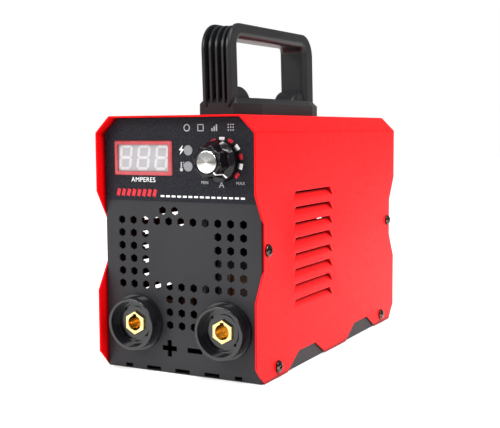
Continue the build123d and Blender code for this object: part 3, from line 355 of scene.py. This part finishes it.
def copies(name, pattern, places, material):
    """One mesh of a pattern at each place, given as a point in mm and a turn in radians."""
    points = bpy.data.meshes.new(name)
    points.from_pydata([Vector(point) * MM for point, _ in places], [], [])
    turns = points.attributes.new("turn", "FLOAT_VECTOR", "POINT")
    for item, (_, turn) in zip(turns.data, places):
        item.vector = turn
    source, piece = shown(f"{name}_pattern", pattern), shown(name, points)
    modifier = piece.modifiers.new("copies", "NODES")
    modifier.node_group = piece_on_points
    given = {"Piece": source, "Finish": material, "Size": 1.0}
    for item in piece_on_points.interface.items_tree:
        if item.in_out == "INPUT" and item.name in given:
            modifier[item.identifier] = given[item.name]
    make_plain(piece)
    bpy.data.objects.remove(source)
    smooth_by_angle(piece.data, 40)
    return piece


def turned(axis, degrees, spin):
    """Euler angles that lay Z along a side, after a spin about Z."""
    matrix = Matrix.Rotation(radians(degrees), 3, axis) @ Matrix.Rotation(spin, 3, "Z")
    return tuple(matrix.to_euler())


black_nickel, tree, shader = new_material("black_nickel_plate", metallic=1.0)
surface(tree, shader, ("302a28", "6f6561"), patch_mm=1.6, grain_mm=0.6, depth_mm=0.006,
        roughness=(0.08, 0.2))
half_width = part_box("cover")[1].x / MM
places = [((side * half_width, y, z), turned("Y", side * 90, 0.7 * index + side))
          for index, (y, z) in enumerate(COVER_SCREW_PLACES) for side in (-1, 1)]
pan_head = screw_mesh("m4_pan_head", head=3.6, height=2.4, shank=2.0, length=6.9)
cover_screws = copies("cover_screws_turned", pan_head, places, black_nickel)
settle(cover_screws, "case", "screw_nickel", "cover_screws")

# ---------------------------------------------------------------- Handle
# Glass-filled nylon, injection moulded in one piece with its ribs and foot plate, screwed on from below.
# Satin black, from a spark-eroded mould: a fine grain that catches a soft light along every edge.

handle_nylon, tree, shader = new_material("moulded_nylon_black", specular=0.3)
surface(tree, shader, ("191a1c", "202123"), patch_mm=30.0, grain_mm=0.35, depth_mm=0.012,
        roughness=(0.3, 0.44))
finished("handle", handle_nylon, edge_mm=0.3)

# Bright zinc on cold-headed steel: a silky blue-grey metal with cloudy patches.
zinc_plate, tree, shader = new_material("zinc_plated_steel", metallic=1.0)
surface(tree, shader, ("a9adb2", "c9c8c2"), patch_mm=6.0, grain_mm=0.7, depth_mm=0.008,
        roughness=(0.22, 0.42))
HANDLE_SCREW_HEAD, COVER_SHEET = 3.8, 1.0
screws_low, screws_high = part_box("handle_screws")
middle_y = (screws_low.y + screws_high.y) / 2 / MM
reach_y = (screws_high.y - screws_low.y) / 2 / MM - HANDLE_SCREW_HEAD
under_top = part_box("cover")[1].z / MM - COVER_SHEET
places = [((0, middle_y + side * reach_y, under_top), turned("X", 180, side)) for side in (-1, 1)]
long_screw = screw_mesh("m4_long", head=HANDLE_SCREW_HEAD, height=2.5, shank=2.0, length=12.3)
handle_screws = copies("handle_screws_turned", long_screw, places, zinc_plate)
settle(handle_screws, "case", "zinc_plated_steel", "handle_screws")

# ---------------------------------------------------------------- Control label
# A printed polycarbonate film glued to the upper part of the front panel.
# Fine-grained near-black face, with white and red ink screen-printed on it.

label_film, tree, shader = new_material("printed_film_black", specular=0.15)
surface(tree, shader, ("07080b", "26272f"), patch_mm=0.8, grain_mm=0.4, depth_mm=0.05,
        roughness=(0.4, 0.6))
finished("control_label", label_film)

LABEL_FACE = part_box("control_label")[0].y / MM
KNOB_AXIS = (28.9, 129.0)
INK_THICKNESS = 0.03


def ink(name, tones):
    """Screen-printing ink: matt, a little uneven in cover."""
    material, tree, shader = new_material(name, specular=0.25)
    surface(tree, shader, tones, patch_mm=1.2, grain_mm=0.3, depth_mm=0.004,
            roughness=(0.45, 0.6))
    return material


white_ink = ink("screen_ink_white", ("e4e4e4", "f4f4f4"))
grey_ink = ink("screen_ink_grey", ("9c9c9e", "b4b4b6"))
red_ink = ink("screen_ink_red", ("b81e28", "cc2e38"))


def rod(start, end, width):
    """A straight stroke as one four-cornered outline in X and Z."""
    (x0, z0), (x1, z1) = start, end
    along = Vector((x1 - x0, z1 - z0)).normalized() * width / 2
    return [(x0 - along.y, z0 + along.x), (x0 + along.y, z0 - along.x),
            (x1 + along.y, z1 - along.x), (x1 - along.y, z1 + along.x)]


def arc(centre, inner, outer, start=0.0, end=360.0, steps=40):
    """A ring, or part of one, as four-cornered outlines in X and Z; an inner radius of 0 gives a disc."""
    outlines = []
    for step in range(steps):
        first, last = (radians(start + (end - start) * (step + side) / steps) for side in (0, 1))
        around = [(inner, last), (inner, first), (outer, first), (outer, last)][0 if inner else 1:]
        outlines.append([(centre[0] + radius * cos(angle), centre[1] + radius * sin(angle))
                         for radius, angle in around])
    return outlines


def printed(name, outlines, material, face=LABEL_FACE, thick=INK_THICKNESS):
    """Flat outlines in X and Z, in mm, laid on a face that looks to the front, as one thin skin."""
    mesh = bpy.data.meshes.new(name)
    work = bmesh.new()
    for outline in outlines:
        work.faces.new([work.verts.new(Vector((x, face - thick, z)) * MM) for x, z in outline])
    bmesh.ops.remove_doubles(work, verts=work.verts, dist=0.0005 * MM)
    for outline_face in work.faces:
        if outline_face.normal.y > 0:
            outline_face.normal_flip()
    bmesh.ops.solidify(work, geom=work.faces[:], thickness=thick * MM)
    bmesh.ops.recalc_face_normals(work, faces=work.faces)
    work.to_mesh(mesh)
    work.free()
    return shown(name, mesh, material)


def lettered(name, text, size, x, z, material):
    """Generic lettering, centred at X and raised by the thickness of the ink, all in mm."""
    raised = 0.02
    curve = bpy.data.curves.new(name, "FONT")
    curve.body, curve.size, curve.align_x, curve.extrude = text, size * MM, "CENTER", raised * MM
    curve.space_character = 1.08
    writing = shown(name, curve)
    mesh = bpy.data.meshes.new_from_object(writing.evaluated_get(bpy.context.evaluated_depsgraph_get()))
    bpy.data.objects.remove(writing)
    on_label = Matrix.Translation(Vector((x, LABEL_FACE - raised, z)) * MM)
    mesh.transform(on_label @ Matrix.Rotation(pi / 2, 4, "X"))
    mesh.materials.clear()
    return shown(name, mesh, material)


# Generic words under the dial and under the meter.
prints = [
    lettered("print_min", "MIN", 2.6, 17.2, 115.4, grey_ink),
    lettered("print_amp", "A", 5.2, 28.5, 113.5, grey_ink),
    lettered("print_max", "MAX", 2.6, 41.0, 115.4, grey_ink),
    lettered("print_amperes", "AMPERES", 4.1, -25.8, 115.9, white_ink)]

# Eleven marks round the dial, white and red in turn.
MARK_STEP, MARK_HALF, MARK_INNER, MARK_OUTER = 26, 7.5, 11.0, 13.9
for name, first, material in (("dial_marks_white", 0, white_ink), ("dial_marks_red", 1, red_ink)):
    marks = []
    for index in range(-5, 6):
        if index % 2 == first:
            middle = 90 + MARK_STEP * index
            marks += arc(KNOB_AXIS, MARK_INNER, MARK_OUTER, middle - MARK_HALF, middle + MARK_HALF, 4)
    prints.append(printed(name, marks, material))

# Slanted red bars and a row of white dashes, for the lower edge of the label.
SLANT_PITCH, DASH_PITCH = 3.75, 3.9
slants = [rod((-44.6 + SLANT_PITCH * step, 107.2), (-43.4 + SLANT_PITCH * step, 111.4), 2.3)
          for step in range(8)]
prints.append(printed("slants_red", slants, red_ink))
dashes = [rod((x, 107.6), (x + 2.6, 107.6), 1.1) for x in [-13.5 + DASH_PITCH * step for step in range(15)]]
prints.append(printed("rule_white", dashes, white_ink))

# Plain icons over the dial: a ring, a square, rising bars and a grid of dots.
icons = arc((5.3, 148.3), 1.6, 2.15)
icons += [rod((12.9, z), (16.5, z), 0.5) for z in (146.5, 150.1)]
icons += [rod((x, 146.25), (x, 150.35), 0.5) for x in (12.9, 16.5)]
icons += [rod((x, 146.3), (x, 146.3 + rise), 0.9) for x, rise in ((22.4, 1.7), (23.9, 2.8), (25.4, 3.9))]
for column in range(3):
    for row in range(3):
        icons += arc((33.2 + 1.6 * column, 146.8 + 1.6 * row), 0, 0.45, steps=12)

# A thermometer and a bolt beside the two lamps.
icons += arc((1.3, 123.7), 0, 1.1, steps=20) + [rod((1.3, 124.4), (1.3, 128.2), 0.8)]
icons += [rod((2.4, z), (3.3, z), 0.4) for z in (125.8, 126.9, 128.0)]
prints.append(printed("icons_grey", icons, grey_ink))
bolt = [(2.4, 138.2), (-0.3, 135.2), (1.2, 135.0), (0.3, 132.4), (3.2, 135.7), (1.7, 135.9)]
prints.append(printed("bolt_white", [bolt], white_ink))
for piece in prints:
    settle(piece, "case", "label_film")

# ---------------------------------------------------------------- Display
# A red moulded ABS frame snapped into the panel round a three-digit seven-segment display.
# The display is cast resin: a light grey face with milky segments that light up from behind.

bezel_abs, tree, shader = new_material("moulded_abs_red")
surface(tree, shader, ("a84044", "b44c50"), patch_mm=8.0, grain_mm=0.4, depth_mm=0.005,
        roughness=(0.2, 0.3), edge_mm=0.25)
finished("display_bezel", bezel_abs)

# Grey casting resin: an even satin face that the segments hardly stand out from.
display_resin, tree, shader = new_material("cast_resin_grey", specular=0.4)
surface(tree, shader, ("98979a", "a2a1a3"), patch_mm=12.0, grain_mm=0.5, depth_mm=0.003,
        roughness=(0.3, 0.4))
dress(display_resin, "display_module")
# Milky resin over each lamp: translucent white, dull while the display is off.
segment_resin, tree, shader = new_material("milky_resin_white", specular=0.4)
surface(tree, shader, ("b6b5b8", "bfbec0"), patch_mm=2.0, grain_mm=0.3, depth_mm=0.003,
        roughness=(0.3, 0.4))

display_low, display_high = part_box("display_module")
DIGIT_HEIGHT, DIGIT_WIDTH, DIGIT_PITCH, SEGMENT_WIDTH, SLANT = 15.2, 9.2, 12.9, 1.8, 0.12
centre_x = (display_low.x + display_high.x) / 2 / MM
centre_z = (display_low.z + display_high.z) / 2 / MM + 0.3


def segment(start, end):
    """A segment's bar with pointed ends, a hair short of its neighbours."""
    (x0, z0), (x1, z1) = start, end
    along = Vector((x1 - x0, z1 - z0)).normalized()
    side = Vector((-along.y, along.x)) * SEGMENT_WIDTH / 2
    tip = 0.12
    shoulder = tip + SEGMENT_WIDTH / 2
    first, last = Vector(start), Vector(end)
    return [first + along * tip, first + along * shoulder - side, last - along * shoulder - side,
            last - along * tip, last - along * shoulder + side, first + along * shoulder + side]


bars = []
for digit in (-1, 0, 1):
    half, rise = (DIGIT_WIDTH - SEGMENT_WIDTH) / 2, (DIGIT_HEIGHT - SEGMENT_WIDTH) / 2
    lines = [((-half, level), (half, level)) for level in (-rise, 0, rise)]
    lines += [((side * half, level), (side * half, level + rise)) for side in (-1, 1) for level in (-rise, 0)]
    for start, end in lines:
        bars.append([(centre_x + digit * DIGIT_PITCH + x + SLANT * z, centre_z + z)
                     for x, z in segment(start, end)])
segments = printed("display_segments", bars, segment_resin, face=display_low.y / MM, thick=0.05)
settle(segments, "case", "display_resin")

# ---------------------------------------------------------------- Lamps on the panel
# Two diffused 6 mm lamps, off: cast epoxy lenses, grey and milky, flush with the label.

led_epoxy, tree, shader = new_material("diffused_epoxy_grey", specular=0.4)
surface(tree, shader, ("797a7d", "868789"), patch_mm=3.0, grain_mm=0.4, depth_mm=0.004,
        roughness=(0.34, 0.46))
finished("power_led", led_epoxy, edge_mm=0.25)
finished("overheat_led", led_epoxy, edge_mm=0.25)

# ---------------------------------------------------------------- Control board
# Glass-epoxy board under green solder mask, held behind the panel on four spacers.
# The potentiometer stands on it and comes out through panel and label under its nut.

# Solder mask over copper tracks: glossy green, lighter and slightly raised along the tracks.
TRACK_LENGTH, TRACK_PITCH, TRACK_WIDTH = 9.0, 2.6, 0.35
solder_mask, tree, shader = new_material("solder_mask_green", Roughness=0.35)
place = add_node(tree, "ShaderNodeTexCoord").outputs["Object"]
tracks = add_node(tree, "ShaderNodeTexBrick", {"offset": 0.35}, {
    "Vector": place, "Scale": 1.0, "Brick Width": TRACK_LENGTH * MM, "Row Height": TRACK_PITCH * MM,
    "Mortar Size": TRACK_WIDTH * MM,
    "Color1": linear("12502c"), "Color2": linear("165a34"), "Mortar": linear("2c7a4a")})
tree.links.new(tracks.outputs["Color"], shader.inputs["Base Color"])
relief = add_node(tree, "ShaderNodeBump", inputs={"Height": tracks.outputs["Fac"], "Distance": 0.04 * MM})
tree.links.new(relief.outputs["Normal"], shader.inputs["Normal"])
dress(solder_mask, "control_board", "main_board", "driver_board")

# Natural nylon, turned: off-white and waxy.
white_nylon, tree, shader = new_material("natural_nylon")
surface(tree, shader, ("c8c2b0", "d8d3c4"), patch_mm=12.0, grain_mm=0.4, depth_mm=0.01,
        roughness=(0.38, 0.52), edge_mm=0.2)
dress(white_nylon, "control_board_spacers")
dress(zinc_plate, "control_board_screws")
for node in ("potentiometer_body", "potentiometer_nut"):
    finished(node, zinc_plate)
finished("potentiometer_shaft", zinc_plate, "dial")

# ---------------------------------------------------------------- Current knob
# Moulded ABS, pushed on the shaft: a flared skirt, eight finger hollows and a filled white pointer line.
# Its end is closed by a cap of spun aluminium, with two bright fans of reflection painted into its colour.

knob_abs, tree, shader = new_material("glossy_abs_black", specular=0.35)
surface(tree, shader, ("070709", "0d0d12"), patch_mm=10.0, grain_mm=0.3, depth_mm=0.002,
        roughness=(0.14, 0.24), edge_mm=0.4)

KNOB_BACK = LABEL_FACE - 0.8
HOLLOW_BACK = ((0, 3.0), (7.6, 3.0), (7.6, 0.0))
SKIRT = ((11.9, 0.0), (12.15, 0.3), (12.2, 4.8), (12.05, 5.6))
FLARE = ((11.6, 6.2), (10.7, 7.5), (10.2, 8.1), (10.05, 8.6), (9.98, 9.4))
GRIP = ((9.9, 13.0), (9.85, 15.9), (9.75, 16.4), (9.4, 16.75), (9.0, 16.85))
FRONT = ((7.1, 16.85), (6.75, 16.6), (6.5, 16.0), (0, 16.0))
POINTER_LINE = (FLARE + GRIP + FRONT[:1])[::-1]


def fluted(radius, height, angle):
    """Eight hollows, 1.6 mm deep, that run out into the skirt."""
    depth = 1.6 * min(1.0, max(0.06, (height - 5.4) / 3.0)) if radius > 7.2 and height > 3.5 else 0.0
    return radius + 0.15 - depth * sqrt(cos(4 * (angle - radians(7.5))) ** 2 + 0.02), height


def on_knob_axis(mesh):
    """Turns a mesh about Z to look to the front, on the knob's axis."""
    x, z = KNOB_AXIS
    mesh.transform(Matrix.Translation(Vector((x, KNOB_BACK, z)) * MM) @ Matrix.Rotation(pi / 2, 4, "X"))
    return mesh


knob_profile = HOLLOW_BACK + SKIRT + FLARE + GRIP + FRONT
knob_mesh = on_knob_axis(lathe("knob_fluted", knob_profile, 256, fluted))
smooth_by_angle(knob_mesh, 30)
settle(shown("knob_fluted", knob_mesh, knob_abs), "dial", "knob_black_abs", "knob")

# The pointer is a line of white ink that follows the knob's outline from its front to its skirt.
POINTER_ANGLE, POINTER_WIDTH, POINTER_DEPTH = radians(-53), 0.9, 0.3
outward = Vector((cos(POINTER_ANGLE), sin(POINTER_ANGLE), 0))
aside = Vector((-sin(POINTER_ANGLE), cos(POINTER_ANGLE), 0)) * POINTER_WIDTH / 2
pointer_mesh = bpy.data.meshes.new("knob_pointer")
work = bmesh.new()
edges = []
for outline_radius, outline_height in POINTER_LINE:
    radius, height = fluted(outline_radius, outline_height, POINTER_ANGLE)
    spine = outward * (radius + 0.06) + Vector((0, 0, height + 0.05))
    edges.append([work.verts.new((spine + side * aside) * MM) for side in (-1, 1)])
for near, far in zip(edges, edges[1:]):
    work.faces.new([near[0], near[1], far[1], far[0]])
bmesh.ops.recalc_face_normals(work, faces=work.faces)
bmesh.ops.solidify(work, geom=work.faces[:], thickness=POINTER_DEPTH * MM)
bmesh.ops.recalc_face_normals(work, faces=work.faces)
work.to_mesh(pointer_mesh)
work.free()
settle(shown("knob_pointer", on_knob_axis(pointer_mesh), white_ink), "dial", "knob_black_abs")

# Spun aluminium: fine turning rings in relief, and a painted reflection of a light fan on each side and a
# dark one between.
spun_aluminium, tree, shader = new_material("spun_aluminium", metallic=1.0, Roughness=0.22, Anisotropic=0.7)
place = add_node(tree, "ShaderNodeTexCoord").outputs["Object"]
centred = add_node(tree, "ShaderNodeMapping", {"vector_type": "TEXTURE"}, {
    "Vector": place, "Location": Vector((KNOB_AXIS[0], 0, KNOB_AXIS[1])) * MM, "Rotation": (pi / 2, 0, 0)})
round_angle = add_node(tree, "ShaderNodeTexGradient", {"gradient_type": "RADIAL"},
                       {"Vector": centred.outputs["Vector"]})
# Painted reflection: the colour goes light and dark by the angle round the cap's axis.
painted_fans = add_node(tree, "ShaderNodeValToRGB", inputs={"Fac": round_angle.outputs["Fac"]})
stops = [(0.0, "8d8681"), (0.05, "c8c5c0"), (0.11, "f4f3f1"), (0.37, "f7f6f4"), (0.44, "c4c0bb"),
         (0.49, "7e7771"), (0.54, "c2beb9"), (0.6, "f3f2f0"), (0.88, "f7f6f5"), (0.95, "c6c2bd")]
while len(painted_fans.color_ramp.elements) < len(stops):
    painted_fans.color_ramp.elements.new(0.5)
for element, (position, code) in zip(painted_fans.color_ramp.elements, stops):
    element.position, element.color = position, linear(code)
RING_PITCH = 1.1  # coarser than real turning, which would be too fine to show
turning = add_node(tree, "ShaderNodeTexWave", {"wave_type": "RINGS", "rings_direction": "Z"}, {
    "Vector": centred.outputs["Vector"], "Scale": tau / 20 / (RING_PITCH * MM), "Distortion": 0.4})
relief = add_node(tree, "ShaderNodeBump", inputs={"Height": turning.outputs["Fac"], "Distance": 0.004 * MM})
tree.links.new(painted_fans.outputs["Color"], shader.inputs["Base Color"])
tree.links.new(relief.outputs["Normal"], shader.inputs["Normal"])
cap_profile = ((0, 15.9), (6.3, 15.9), (6.4, 16.2), (6.4, 17.15),
               (6.3, 17.35), (6.1, 17.5), (5.7, 17.55), (0, 17.6))
cap_mesh = on_knob_axis(lathe("knob_cap_spun", cap_profile, 128))
smooth_by_angle(cap_mesh, 40)
settle(shown("knob_cap_spun", cap_mesh, spun_aluminium), "dial", "spun_aluminium", "knob_cap")

# ---------------------------------------------------------------- Output sockets
# Two quick-connect sockets: a glossy nylon cup and flange, clamped to the panel by a nut from behind.
# In each sits a hexagon of machined brass with a bored seat and a key slot, bolted to a copper bar.

# Moulded nylon from a polished mould: deep black with sharp highlights.
socket_nylon, tree, shader = new_material("glossy_nylon_black", specular=0.6)
surface(tree, shader, ("101013", "17171b"), patch_mm=9.0, grain_mm=0.5, depth_mm=0.002,
        roughness=(0.12, 0.22))
# Turned brass: bright yellow with faint tool marks.
brass, tree, shader = new_material("machined_brass", metallic=1.0)
surface(tree, shader, ("f0d088", "f6dda0"), patch_mm=5.0, grain_mm=0.35, depth_mm=0.004,
        roughness=(0.14, 0.26), edge_mm=0.35)
# Drawn copper strip: a dull reddish metal.
copper, tree, shader = new_material("drawn_copper", metallic=1.0)
surface(tree, shader, ("b96a48", "d88d66"), patch_mm=9.0, grain_mm=0.5, depth_mm=0.006,
        roughness=(0.26, 0.4), edge_mm=0.3)
for side in ("positive", "negative"):
    finished(f"{side}_socket_body", socket_nylon, edge_mm=0.55)
    finished(f"{side}_socket_contact", brass)
    finished(f"{side}_socket_nut", socket_nylon)
    finished(f"{side}_terminal_bolt", zinc_plate)
    finished(f"{side}_busbar", copper)

# ---------------------------------------------------------------- Power board
# Components of the inverter, soldered or screwed to the main board, with heatsinks on each side.
# Each has the finish of its real part, such as extruded aluminium, black epoxy, ferrite or tape.

# Extruded aluminium: pale, with a slightly streaky satin surface.
extruded, tree, shader = new_material("extruded_aluminium", metallic=1.0)
surface(tree, shader, ("a9acb0", "c6c8ca"), patch_mm=14.0, grain_mm=0.6, depth_mm=0.008,
        roughness=(0.3, 0.45), edge_mm=0.2)
# Moulding epoxy round the devices: matt grey-black and a little grainy.
epoxy, tree, shader = new_material("device_epoxy_black")
surface(tree, shader, ("191919", "222223"), patch_mm=5.0, grain_mm=0.3, depth_mm=0.02,
        roughness=(0.5, 0.65), edge_mm=0.2)
# Sintered ferrite: dark grey and chalky.
ferrite, tree, shader = new_material("sintered_ferrite")
surface(tree, shader, ("2e2e31", "3c3c40"), patch_mm=4.0, grain_mm=0.4, depth_mm=0.03,
        roughness=(0.5, 0.7), edge_mm=0.3)
# Polyester tape round the windings: glossy amber brown, with shallow wrinkles.
amber_tape, tree, shader = new_material("polyester_tape_amber")
surface(tree, shader, ("74400d", "8f5214"), patch_mm=7.0, grain_mm=1.2, depth_mm=0.06,
        roughness=(0.24, 0.4), edge_mm=0.3)
# Enamelled copper wire: dark red-brown with a metallic shine.
enamelled_wire, tree, shader = new_material("enamelled_copper_wire", metallic=0.7)
surface(tree, shader, ("4c220c", "703618"), patch_mm=6.0, grain_mm=0.8, depth_mm=0.08,
        roughness=(0.2, 0.34), edge_mm=0.2)
# The capacitors' shrunk sleeve: black, smooth and fairly glossy.
sleeve, tree, shader = new_material("capacitor_sleeve_black")
surface(tree, shader, ("1c1f26", "272b33"), patch_mm=9.0, grain_mm=0.7, depth_mm=0.01,
        roughness=(0.25, 0.38), edge_mm=0.4)
# The relay's moulded case: blue and satin.
relay_plastic, tree, shader = new_material("relay_case_blue")
surface(tree, shader, ("1a497d", "225890"), patch_mm=8.0, grain_mm=0.4, depth_mm=0.008,
        roughness=(0.3, 0.42), edge_mm=0.3)
inside = {"heatsink_right": extruded, "heatsink_left": extruded, "output_diodes": epoxy,
          "switching_transistors": epoxy, "bridge_rectifier": epoxy, "transformer_core": ferrite,
          "choke_core": ferrite, "transformer_winding": amber_tape, "auxiliary_transformer": amber_tape,
          "choke_winding": enamelled_wire, "bulk_capacitors": sleeve, "soft_start_relay": relay_plastic,
          "board_standoffs": zinc_plate, "board_screws": zinc_plate}
for node, material in inside.items():
    finished(node, material)

# ---------------------------------------------------------------- Fan
# An 80 mm fan on the rear panel, held by four long screws with nuts; it turns on its own pin.
# Glass-filled PBT, moulded: near-black with a slight sheen.

fan_pbt, tree, shader = new_material("moulded_pbt_black")
surface(tree, shader, ("1a1a1d", "232327"), patch_mm=12.0, grain_mm=0.4, depth_mm=0.01,
        roughness=(0.3, 0.44), edge_mm=0.3)
finished("fan_frame", fan_pbt)
finished("fan_rotor", fan_pbt, "fan")
finished("fan_nuts", zinc_plate)

FAN_SCREW_HEAD, FAN_SCREW_HEAD_HEIGHT = 3.8, 2.6
screws_low, screws_high = (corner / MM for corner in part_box("fan_screws"))
corners = [(x, z) for x in (screws_low.x + FAN_SCREW_HEAD, screws_high.x - FAN_SCREW_HEAD)
           for z in (screws_low.z + FAN_SCREW_HEAD, screws_high.z - FAN_SCREW_HEAD)]
places = [((x, screws_high.y - FAN_SCREW_HEAD_HEIGHT, z), turned("X", -90, 0.6 * index))
          for index, (x, z) in enumerate(corners)]
fan_screw = screw_mesh("m4_fan_screw", head=FAN_SCREW_HEAD, height=FAN_SCREW_HEAD_HEIGHT,
                       shank=2.0, length=30.8)
fan_screws = copies("fan_screws_turned", fan_screw, places, zinc_plate)
settle(fan_screws, "case", "zinc_plated_steel", "fan_screws")

# ---------------------------------------------------------------- Rear fittings and wiring
# Rocker switch, cable gland and earth stud on the rear panel, and the leads inside the case.
# Plain moulded plastics, turned and plated steel, and PVC-covered leads.

# Moulded polyamide round the switch: black with a slight sheen.
switch_plastic, tree, shader = new_material("switch_plastic_black")
surface(tree, shader, ("161618", "1e1e21"), patch_mm=9.0, grain_mm=0.35, depth_mm=0.006,
        roughness=(0.26, 0.38), edge_mm=0.3)
# Red moulded polycarbonate: glossy.
rocker_plastic, tree, shader = new_material("rocker_plastic_red")
surface(tree, shader, ("ab1219", "bd1a22"), patch_mm=9.0, grain_mm=0.35, depth_mm=0.004,
        roughness=(0.2, 0.32), edge_mm=0.4)
# Moulded nylon: a satin black.
gland_nylon, tree, shader = new_material("gland_nylon_black")
surface(tree, shader, ("19191b", "232326"), patch_mm=9.0, grain_mm=0.4, depth_mm=0.012,
        roughness=(0.34, 0.48), edge_mm=0.4)
# PVC round the leads: grey and soft-looking.
lead_pvc, tree, shader = new_material("lead_pvc_grey")
surface(tree, shader, ("66686c", "77797d"), patch_mm=9.0, grain_mm=0.5, depth_mm=0.01,
        roughness=(0.35, 0.5))
for node, material in {"power_switch_body": switch_plastic, "cable_gland": gland_nylon,
                       "cable_gland_nut": gland_nylon, "earth_bolt": zinc_plate, "earth_nuts": zinc_plate,
                       "control_cable": lead_pvc, "switch_leads": lead_pvc}.items():
    finished(node, material)
finished("power_rocker", rocker_plastic, "rocker")
